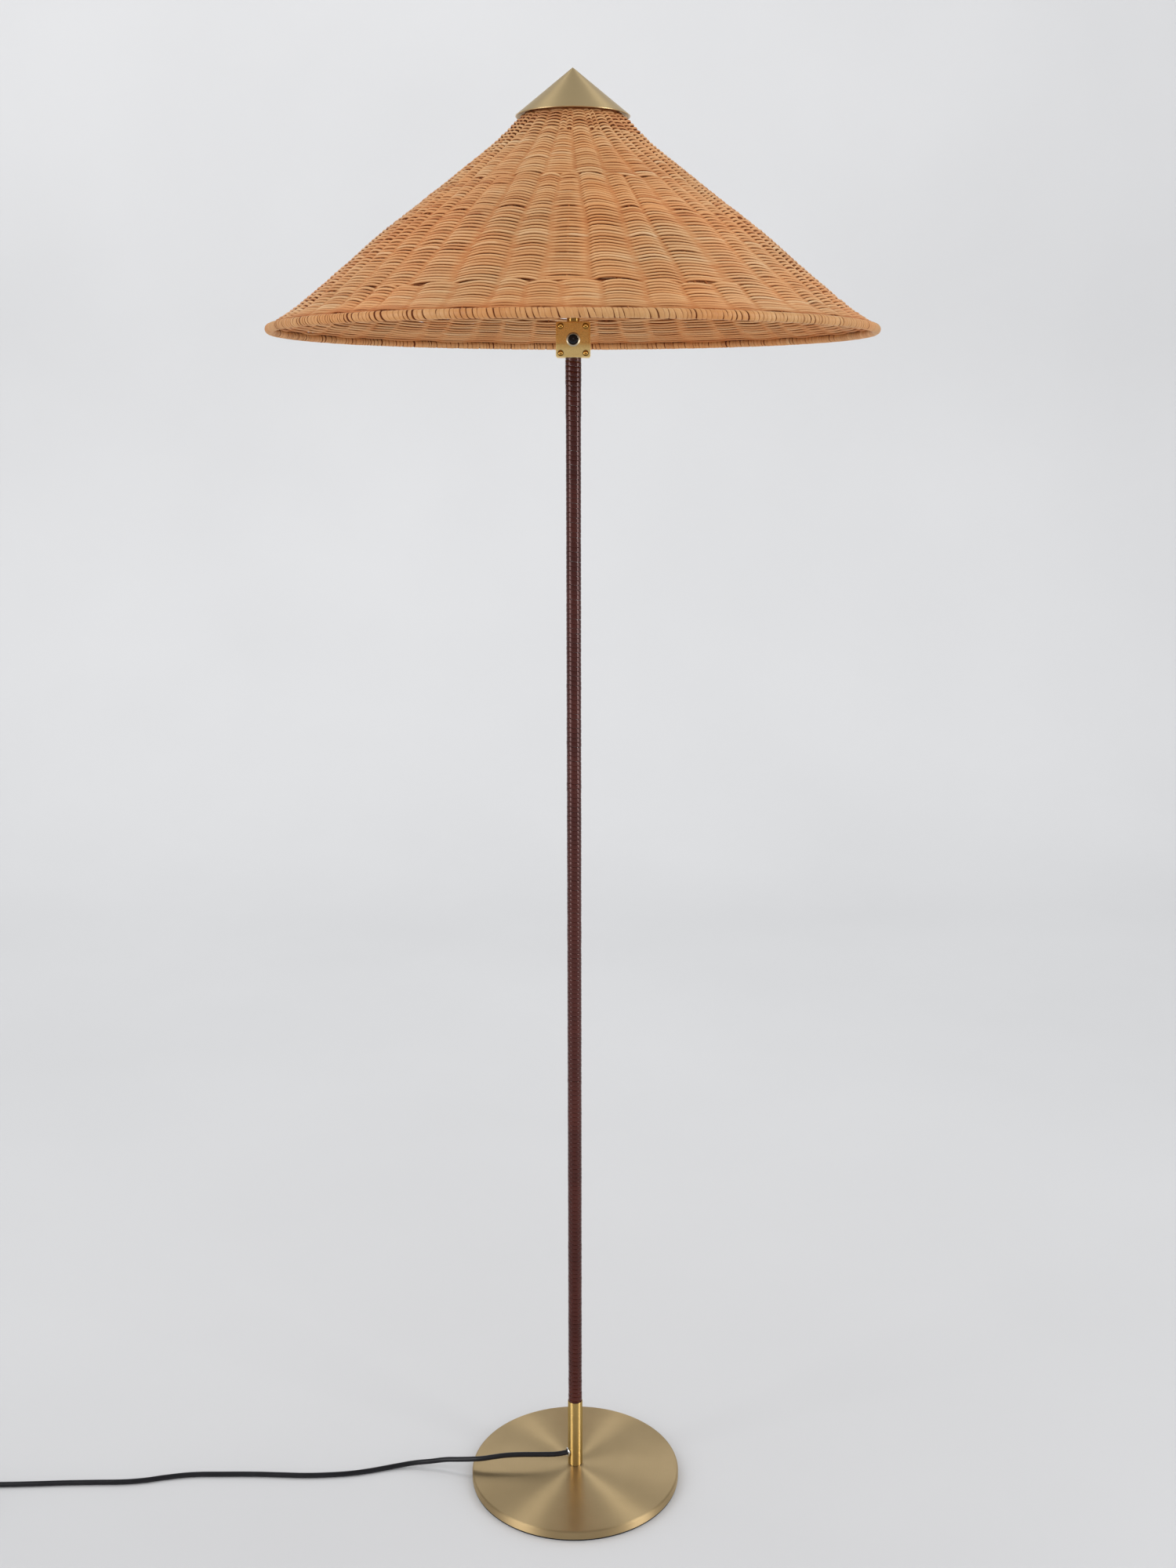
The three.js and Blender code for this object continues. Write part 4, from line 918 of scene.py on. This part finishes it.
SIDES, PER = 8, 7
weave_V, weave_F, weave_T, weave_U, weave_painted_shading, off = [], [], [], [], [], 0
hue = rng.uniform(0, 1)
for i, (s, zi) in enumerate(rows):
    s0, s1, top, low = ZONES[zi]
    f = (s - s0) / (s1 - s0)
    edge = top * (1 - f) + low * f
    n = len(edge)
    nxt = np.append(edge[1:], edge[0] + BACK)
    lean = 0.35 * np.sin(s * 0.05 + phase[4] + np.arange(n) * 1.7)
    e0, e1 = edge + lean, nxt + np.append(lean[1:], lean[0])
    u = np.arange(PER) / PER
    th = (e0[:, None] + (e1 - e0)[:, None] * u[None, :]).ravel()
    th = np.radians(th)
    uu = np.tile(u, n)
    k = np.repeat(np.arange(n), PER)
    sign = np.where((k + i + (s > 158.0)) % 2 == 0, 1.0, -1.0)
    us = uu ** SKEW[zi][k]
    wave = np.sin(math.pi * us) ** 0.78
    taper = np.interp(s, [-2, 9], [0.5, 1.0]) * np.interp(s, [288, SL], [1.0, 0.5])
    jit = 1 + 0.07 * rng.standard_normal(n)
    depth = DEPTH[zi][k] * jit[k] * taper
    flute = 0.14 * depth * (wave - 0.6)
    o = sign * wave * depth * 0.74 + flute
    rise = np.where(sign > 0, 1.0, 0.25) * RISE[zi][k] * np.sin(math.pi * us) ** 1.3 * taper
    row_jit = 0.26 * rng.standard_normal(n)
    ss = s + wander(th, s) * np.interp(s, [0, 30, 290, SL], [0.1, 1, 1, 0.2]) - rise + row_jit[k] * np.sin(math.pi * uu)
    if i == 0 or i == len(rows) - 1:
        ss = np.full_like(ss, s)
    ss = np.clip(ss, -2.4, SL + 0.2)
    base = o - depth_at(ss)
    r = B0[0] + td[0] * ss + nd[0] * base
    z = B0[1] + td[1] * ss + nd[1] * base
    P = np.stack([r * np.sin(th), -r * np.cos(th), z], -1) * MM
    T = np.roll(P, -1, 0) - np.roll(P, 1, 0)
    T /= np.linalg.norm(T, axis=1)[:, None]
    N = np.stack([nd[0] * np.sin(th), -nd[0] * np.cos(th), np.full_like(th, nd[1])], -1)
    N -= (N * T).sum(1)[:, None] * T
    N /= np.linalg.norm(N, axis=1)[:, None]
    B = np.cross(T, N)
    rad = 1.38 * (1 + 0.05 * rng.standard_normal()) * np.interp(s, [-2, 0, 25, 290, SL], [0.86, 0.92, 1.0, 1.0, 0.96])
    thick = rad * (1 + 0.05 * np.sin(2 * th + rng.uniform(0, 6)) + 0.03 * np.sin(5 * th + rng.uniform(0, 6)))
    a = np.arange(SIDES) * 2 * math.pi / SIDES
    ringp = np.stack([np.cos(a)[None, :] * thick[:, None], np.sin(a)[None, :] * thick[:, None]], -1) * MM
    v = P[:, None, :] + N[:, None, :] * ringp[..., 0:1] + B[:, None, :] * ringp[..., 1:2]
    m = len(P)
    I, J = np.meshgrid(np.arange(m), np.arange(SIDES), indexing="ij")
    fq = np.stack([I * SIDES + J, ((I + 1) % m) * SIDES + J, ((I + 1) % m) * SIDES + (J + 1) % SIDES, I * SIDES + (J + 1) % SIDES], -1)
    weave_V.append(v.reshape(-1, 3))
    weave_F.append(fq.reshape(-1, 4) + off)
    off += m * SIDES
    # colour: a few lengths of rod to a row, some shared with the row above
    if rng.random() < 0.55:
        hue = float(np.clip(0.50 + 0.13 * rng.standard_normal(), 0.05, 0.95))
    cut = np.sort(rng.uniform(0, 360, rng.integers(1, 4)))
    hues = [hue] + [float(np.clip(0.50 + 0.14 * rng.standard_normal(), 0.05, 0.95)) for _ in cut]
    deg = np.degrees(th) % 360
    tv = np.array(hues)[np.searchsorted(cut, deg)]
    hue = hues[0]
    local = 0.10 * np.interp(np.arange(m), np.arange(0, m + 20, 9), rng.standard_normal(len(np.arange(0, m + 20, 9))))
    # painted shade: the top rows, under the cap, are darker
    shade_t = np.clip(tv + local - np.interp(s, [0, 14, 27, 50], [0.28, 0.17, 0.04, 0.0]), 0, 1)
    weave_T.append(np.repeat(shade_t, SIDES))
    # painted shade: the rod sides facing their neighbours darken away from the crossings, the crossings darken, and the
    # last rows above the rim darker still
    away = np.clip(np.abs(o) / 0.95, 0, 1) ** 1.3             # 0 where rods cross, 1 in the middle of a column
    side = np.clip((np.cos(a)[None, :] * np.sign(o)[:, None] + np.interp(s, [0, 27, 40], [0.08, 0.12, 0.30])) / 0.85, 0, 1)
    within = np.interp(np.cos(a), [-1, -0.2, 0.5, 1], [0.95, 0.97, 1, 1])[None, :]      # the inside gets a little less painted shade
    crossing_painted_shade = np.interp(wave, [0, 0.62], [0.70, 1.0])[:, None] * np.interp(s, [302, SL], [1.0, 0.5])
    weave_painted_shading.append((crossing_painted_shade * (1 - away[:, None] * within * (1 - side * side * (3 - 2 * side)))).ravel())
    step = np.linalg.norm(np.roll(P, -1, 0) - P, axis=1)
    arc = np.concatenate([[0], np.cumsum(step)[:-1]]) + rng.uniform(0, 9)
    weave_U.append(np.stack(np.broadcast_arrays(arc[:, None], (np.arange(SIDES) / SIDES)[None, :]), -1).reshape(-1, 2))
weave = piece("woven_rods", np.concatenate(weave_V), np.concatenate(weave_F), "shade", "rattan", ["shade_weave"], 80,
              tint=np.concatenate(weave_T), uv=np.concatenate(weave_U), shade_paint_level=np.concatenate(weave_painted_shading))

# three more turns, hidden under the cap, close the top; they are painted dark as shade
top = ZONES[0][2]
n = len(top)
th = np.radians((top[:, None] + (np.append(top[1:], top[0] + BACK) - top)[:, None] * (np.arange(6) / 6)[None, :]).ravel())
V, F, off = [], [], 0
for j, s in enumerate((-4.3, -6.2, -8.1)):
    o = 0.6 * np.tile(np.sin(math.pi * np.arange(6) / 6), n) * np.where((np.repeat(np.arange(n), 6) + j) % 2 == 0, 1, -1) - 1.3
    r, z = B0[0] + td[0] * s + nd[0] * o, B0[1] + td[1] * s + nd[1] * o
    P = np.stack([r * np.sin(th), -r * np.cos(th), z], -1) * MM
    N = np.stack([nd[0] * np.sin(th), -nd[0] * np.cos(th), np.full_like(th, nd[1])], -1)
    T = np.roll(P, -1, 0) - np.roll(P, 1, 0)
    T /= np.linalg.norm(T, axis=1)[:, None]
    N -= (N * T).sum(1)[:, None] * T
    N /= np.linalg.norm(N, axis=1)[:, None]
    B = np.cross(T, N)
    a = np.arange(8) * 2 * math.pi / 8
    V.append((P[:, None, :] + 1.2 * MM * (N[:, None, :] * np.cos(a)[None, :, None] + B[:, None, :] * np.sin(a)[None, :, None])).reshape(-1, 3))
    m = len(P)
    I, J = np.meshgrid(np.arange(m), np.arange(8), indexing="ij")
    F.append(np.stack([I * 8 + J, ((I + 1) % m) * 8 + J, ((I + 1) % m) * 8 + (J + 1) % 8, I * 8 + (J + 1) % 8], -1).reshape(-1, 4) + off)
    off += m * 8
V = np.concatenate(V)
piece("top_turns", V, np.concatenate(F), "shade", "rattan", (), 80, tint=np.full(len(V), 0.2),
      uv=np.stack([np.arctan2(V[:, 1], V[:, 0]) * 0.05, V[:, 2] * 30], -1), shade_paint_level=np.full(len(V), 0.35))

# stakes: the rods that run down the slope in the middle of each column; they get a dark tint and painted shade, as they
# sit behind the rods
V, F, Tn, U, off = [], [], [], [], 0
for zi, (s0, s1, top, low) in enumerate(ZONES):
    n = len(top)
    for k in range(n):
        a0 = (top[k] + (top[k + 1] if k + 1 < n else top[0] + BACK)) / 2
        a1 = (low[k] + (low[k + 1] if k + 1 < n else low[0] + BACK)) / 2
        ss = np.linspace(max(s0, -2.2) - (6 if zi > 1 else 0), min(s1 + (0 if zi == 3 else 5), SL + 0.5), 14)
        fr = np.clip((ss - s0) / (s1 - s0), 0, 1)
        th = np.radians(a0 * (1 - fr) + a1 * fr)
        base = 0.1 - depth_at(ss)
        r, z = B0[0] + td[0] * ss + nd[0] * base, B0[1] + td[1] * ss + nd[1] * base
        P = np.stack([r * np.sin(th), -r * np.cos(th), z], -1) * MM
        T, N, B = frames(P)
        rad = 1.0 * np.interp(ss, [0, 60], [0.7, 1.0])
        a = np.arange(8) * 2 * math.pi / 8
        pr = np.stack([np.cos(a)[None, :] * rad[:, None], np.sin(a)[None, :] * rad[:, None]], -1) * MM
        v, f = sweep(P, N, B, pr, False)
        m = pr.shape[1]
        I, J = np.meshgrid(np.arange(len(P) - 1), np.arange(m), indexing="ij")
        f = np.stack([I * m + J, (I + 1) * m + J, (I + 1) * m + (J + 1) % m, I * m + (J + 1) % m], -1).reshape(-1, 4)
        F += [[q + off for q in quad] for quad in capped(f, len(P), m)]
        V.append((P[:, None, :] + N[:, None, :] * pr[..., 0:1] + B[:, None, :] * pr[..., 1:2]).reshape(-1, 3))
        U.append(np.stack(np.broadcast_arrays((ss * MM)[:, None], (a / 6.283)[None, :]), -1).reshape(-1, 2))
        Tn.append(np.full(len(P) * m, rng.uniform(0.05, 0.3)))
        off += len(P) * m
piece("stakes", np.concatenate(V), F, "shade", "rattan", (), 80, tint=np.concatenate(Tn), uv=np.concatenate(U),
      shade_paint_level=np.full(sum(len(v) for v in V), 0.35))

# rim: flat cane wound round the hoop
HOOP_R, RIM_Z = 295.5, 1270.0
rng = np.random.default_rng(33)
gap, widths, total = [], [], 0.0
circ = 2 * math.pi * HOOP_R
while total < circ - 3:
    widths.append(float(np.clip(4.5 + 1.3 * rng.standard_normal(), 2.4, 7.4)))
    gap.append(float(rng.choice([0.02, 0.12, 0.5, 1.3], p=[0.50, 0.30, 0.11, 0.09])))
    total += widths[-1] + gap[-1]
k = circ / total
widths, gap = np.array(widths) * k, np.array(gap) * k
centre = np.cumsum(widths + gap) - gap - widths / 2
NT = len(widths)
STEP = 18
tt = np.arange(NT * STEP + 1) / STEP
cc = np.interp(tt, np.arange(-1, NT + 2), np.concatenate([[centre[-1] - circ], centre, [centre[0] + circ, centre[1] + circ]]))
half_turns = np.arange(0, NT + 0.6, 0.5)
sway = 0.28 * rng.standard_normal(len(half_turns))
steep = np.interp(tt, half_turns, 0.26 + 0.22 * rng.standard_normal(len(half_turns)))
cc = cc + np.interp(tt, half_turns, sway) + steep * np.sin(2 * math.pi * (tt - 131 / 360))
ww = np.interp(tt, np.arange(NT + 1), np.append(widths, widths[0]))
ww = ww * (1 + np.interp(tt, half_turns, 0.05 * rng.standard_normal(len(half_turns))))
lift = np.interp(tt, np.arange(NT + 1), 0.09 * rng.standard_normal(NT + 1)) - 0.05
tilt = np.interp(tt, np.arange(NT + 1), 0.16 + 0.13 * rng.standard_normal(NT + 1))
phi = math.radians(131) - 2 * math.pi * tt      # round the section, from the side where the stakes enter
theta = cc / HOOP_R
across = np.array([-0.5, -0.47, -0.36, -0.18, 0.0, 0.18, 0.36, 0.47, 0.5])
crown = np.array([-0.34, -0.13, 0.03, 0.11, 0.14, 0.11, 0.03, -0.13, -0.34])
outer_r = np.minimum(4.22 + crown[None, :] + lift[:, None] + tilt[:, None] * across[None, :], 4.45)
inner_r = np.full((len(tt), 2), 3.66)
allr = np.concatenate([outer_r, inner_r], 1)
ax = np.concatenate([across, [0.46, -0.46]])
TH = theta[:, None] + ax[None, :] * (ww / HOOP_R)[:, None]
RR = HOOP_R + allr * np.cos(phi)[:, None]
ZZ = RIM_Z + allr * np.sin(phi)[:, None]
V = np.stack([RR * np.sin(TH), -RR * np.cos(TH), ZZ], -1) * MM
n, m = len(tt), len(ax)
I, J = np.meshgrid(np.arange(n - 1), np.arange(m), indexing="ij")
F = np.stack([I * m + J, (I + 1) * m + J, (I + 1) * m + (J + 1) % m, I * m + (J + 1) % m], -1).reshape(-1, 4)
tnt = np.clip(0.5 + 0.15 * rng.standard_normal(NT + 1), 0.03, 0.98)
tn = np.interp(tt, np.arange(NT + 1), tnt)
# painted shade at the edges of each strip, in the gaps between strips
edge = np.array([0.0, 0.55, 0.95, 1, 1, 1, 0.95, 0.55, 0.0, 0.0, 0.0])
tight = np.where(gap < 0.3, rng.uniform(0.5, 0.9, NT), rng.uniform(0.0, 0.15, NT))       # how closed the gap after each strip is, and so how little painted shade its edges get
after, before = (np.interp(tt, np.arange(NT + 1), np.append(t_, t_[0])) for t_ in (tight, np.roll(tight, 1)))
lift_edge = np.where(np.arange(11) < 4, before[:, None], after[:, None])
rim_painted_shading = np.maximum(edge[None, :], lift_edge * (np.arange(11) < 9)[None, :])
rim_painted_shading = rim_painted_shading * np.interp(tt % 1.0, [0.0, 0.05, 0.12, 0.97, 1.0], [0.15, 0.45, 1.0, 1.0, 0.15])[:, None]     # painted shade where the wall comes in
arc = np.concatenate([[0], np.cumsum(np.linalg.norm(np.diff(V[:, 4], axis=0), axis=1))])
piece("cane_binding", V.reshape(-1, 3), capped(F, n, m), "shade", "cane", ["rim_binding"], 50,
      tint=np.repeat(tn, m), shade_paint_level=rim_painted_shading.ravel(),
      uv=np.stack(np.broadcast_arrays(arc[:, None], ax[None, :] * 0.5), -1).reshape(-1, 2))
# the hoop under the binding is painted nearly black, as shade
hoopv, hoopf = lathe([(HOOP_R + 3.6 * math.cos(a), RIM_Z + 3.6 * math.sin(a)) for a in np.arange(14) * math.pi / 7], 160)
hv = np.array(hoopv)
piece("hoop_rod", hoopv, hoopf, "shade", "rattan", ["rim_hoop"], 60, tint=np.full(len(hv), 0.08), shade_paint_level=np.full(len(hv), 0.05),
      uv=np.stack([np.arctan2(hv[:, 1], hv[:, 0]) * 0.3, hv[:, 2] * 30], -1))

# ---------------------------------------------------------------- cap
CAP_R, LIP, EDGE_Z, APEX = 55.5, 1469.0, 1470.6, 1515.0


def cone(r, drop=0.0):
    return APEX - ((APEX - EDGE_Z) / CAP_R) * r - drop


turned("cap_shell", [(CAP_R - 1.2, LIP + 1.0), (CAP_R - 0.4, LIP + 1.0), (CAP_R, EDGE_Z), (28, cone(28)), (0.9, cone(0.9)), (0, APEX - 0.25), (0, cone(0, 1.28)),
                     (28, cone(28, 1.28)), (CAP_R - 1, cone(CAP_R - 1, 1.28))], "cap", "cap", ["cap_cone"], 200,
       [0.15, 0.15, 0.15, 0, 0.5, 0, 0, 0, 0.3])
turned("cap_nut", [(3.3, HUB + 2.3), (8, HUB + 2.3), (8, cone(8, 1.75)), (2, cone(2, 1.75)), (0, cone(2, 1.75)), (0, 1486), (3.3, 1486)],
       "cap", "bright", ["cap_boss"], 64, 0.2, keep=(3, 4, 5))

# ---------------------------------------------------------------- inner parts that keep their CAD shape
INNER = {"base_weight": "iron", "base_threaded_tube": "steel", "base_washer": "steel", "base_nut": "steel", "pole_tube": "steel",
         "switch_body": "plastic", "switch_terminal_left": "bright", "switch_terminal_right": "bright", "switch_lead_left": "cord",
         "switch_lead_right": "cord", "inner_cable": "cord", "holder_nipple": "bright", "holder_nut": "bright",
         "holder_insert": "porcelain", "centre_contact": "bright", "screw_shell": "bright"}
for node, look in INNER.items():
    ob = NODES[node]
    ob.data.materials.clear()
    ob.data.materials.append(M[look])

# ---------------------------------------------------------------- floor, backdrop and light
prof = [(-7.0, 0.0), (-2.0, 0.0), (0.0, 0.0), (1.2, 0.0), (2.2, 0.0)]
for i in range(1, 25):
    a = math.radians(90 * i / 24)
    prof.append((2.2 + 1.5 * math.sin(a), 1.5 - 1.5 * math.cos(a)))
prof += [(3.7, 2.2), (3.7, 3.0)]
xs = [-8, -4, -2, 0, 2, 4, 8]
V = [(x, y, z - 0.0002) for x in xs for y, z in prof]
F = []
for i in range(len(xs) - 1):
    for j in range(len(prof) - 1):
        F.append([i * len(prof) + j, (i + 1) * len(prof) + j, (i + 1) * len(prof) + j + 1, i * len(prof) + j + 1])
me = bpy.data.meshes.new("studio_sweep")
me.from_pydata(V, [], F)
me.shade_smooth()
sweep_ob = bpy.data.objects.new("studio_sweep", me)
scene.collection.objects.link(sweep_ob)
mat, nt, bsdf = shader("studio_paper")
n = noise(nt, coords(nt), 1.1, 3.0, 0.5)
where = nt.nodes.new("ShaderNodeSeparateXYZ")
nt.links.new(coords(nt), where.inputs[0])
# painted shade: the paper is painted a little darker towards the front and lighter towards the back
paper_painted_falloff = nt.nodes.new("ShaderNodeMapRange")
paper_painted_falloff.inputs["From Min"].default_value, paper_painted_falloff.inputs["From Max"].default_value = -0.5, 2.2
nt.links.new(where.outputs["Y"], paper_painted_falloff.inputs["Value"])
paper = add(nt, "ShaderNodeMix", data_type="RGBA", blend_type="MULTIPLY")
paper.inputs[0].default_value = 1.0
nt.links.new(ramp(nt, n, [(0.3, (0.572, 0.574, 0.576)), (0.7, (0.598, 0.600, 0.602))]), paper.inputs[6])
nt.links.new(ramp(nt, paper_painted_falloff.outputs[0], [(0.0, (0.955, 0.955, 0.955)), (1.0, (1.03, 1.03, 1.03))]), paper.inputs[7])
nt.links.new(paper.outputs[2], bsdf.inputs["Base Color"])
bsdf.inputs["Roughness"].default_value = 0.8
bsdf.inputs["Specular IOR Level"].default_value = 0.15
me.materials.append(mat)


def softbox(name, at, aim, size, power, colour=(1, 1, 1), gloss=True):
    li = bpy.data.lights.new(name, "AREA")
    li.shape = "RECTANGLE"
    li.size, li.size_y = size
    li.energy = power
    li.color = colour
    ob = bpy.data.objects.new(name, li)
    scene.collection.objects.link(ob)
    ob.location = at
    ob.rotation_euler = (Vector(aim) - Vector(at)).to_track_quat("-Z", "Y").to_euler()
    ob.visible_camera = False
    ob.visible_glossy = gloss
    return ob


softbox("softbox_left", (-1.75, -0.98, 1.50), (0, 0, 0.85), (0.45, 1.5), 8.3, gloss=False)
softbox("softbox_right", (1.62, -1.10, 1.50), (0, 0, 0.85), (0.45, 1.5), 10, gloss=False)
for name, at, wide, power in (("glint_left", (-1.70, -1.06, 1.225), 1.0, 25.3), ("glint_right", (1.88, -0.70, 1.225), 0.75, 24.6)):
    softbox(name, at, (0, 0, 0.85), (wide, 2.05), power).visible_diffuse = False
softbox("floor_glow", (0.0, -0.05, 0.03), (0, -0.05, 1.0), (0.9, 0.9), 5.3, colour=(1.0, 0.97, 0.97), gloss=False)
softbox("wall_wash", (-0.8, 1.0, 3.3), (-0.3, 3.4, 0.7), (6.5, 1.0), 50, gloss=False)
world = bpy.data.worlds.new("studio")
scene.world = world
world.use_nodes = True
wt = world.node_tree
bg = wt.nodes["Background"]
tc = wt.nodes.new("ShaderNodeTexCoord")
xyz = wt.nodes.new("ShaderNodeSeparateXYZ")
wt.links.new(tc.outputs["Generated"], xyz.inputs[0])
high = wt.nodes.new("ShaderNodeMapRange")
high.inputs["From Min"].default_value, high.inputs["From Max"].default_value = 0.35, 0.9
wt.links.new(xyz.outputs["Z"], high.inputs["Value"])
wt.links.new(ramp(wt, high.outputs["Result"], [(0.0, (0.98, 0.98, 1.0)), (1.0, (0.66, 0.67, 0.69))]), bg.inputs["Color"])
path = wt.nodes.new("ShaderNodeLightPath")
level = wt.nodes.new("ShaderNodeMapRange")      # the studio's walls fill in softly, its shiny reflections stay lower
level.inputs["To Min"].default_value = 1.22
ahead = wt.nodes.new("ShaderNodeMapRange")      # darkest towards the front of the room
for socket, value in (("From Min", -1.0), ("From Max", -0.2), ("To Min", 0.36), ("To Max", 0.64)):
    ahead.inputs[socket].default_value = value
wt.links.new(xyz.outputs["Y"], ahead.inputs["Value"])
across = add(wt, "ShaderNodeMath", operation="ABSOLUTE")
wt.links.new(xyz.outputs["X"], across.inputs[0])
sides = wt.nodes.new("ShaderNodeMapRange")      # and dim to the left and right
for socket, value in (("From Min", 0.45), ("From Max", 0.95), ("To Min", 1.0), ("To Max", 0.45)):
    sides.inputs[socket].default_value = value
wt.links.new(across.outputs[0], sides.inputs["Value"])
both = add(wt, "ShaderNodeMath", operation="MULTIPLY")
wt.links.new(ahead.outputs["Result"], both.inputs[0])
wt.links.new(sides.outputs["Result"], both.inputs[1])
wt.links.new(both.outputs[0], level.inputs["To Max"])
wt.links.new(path.outputs["Is Glossy Ray"], level.inputs["Value"])
wt.links.new(level.outputs["Result"], bg.inputs["Strength"])
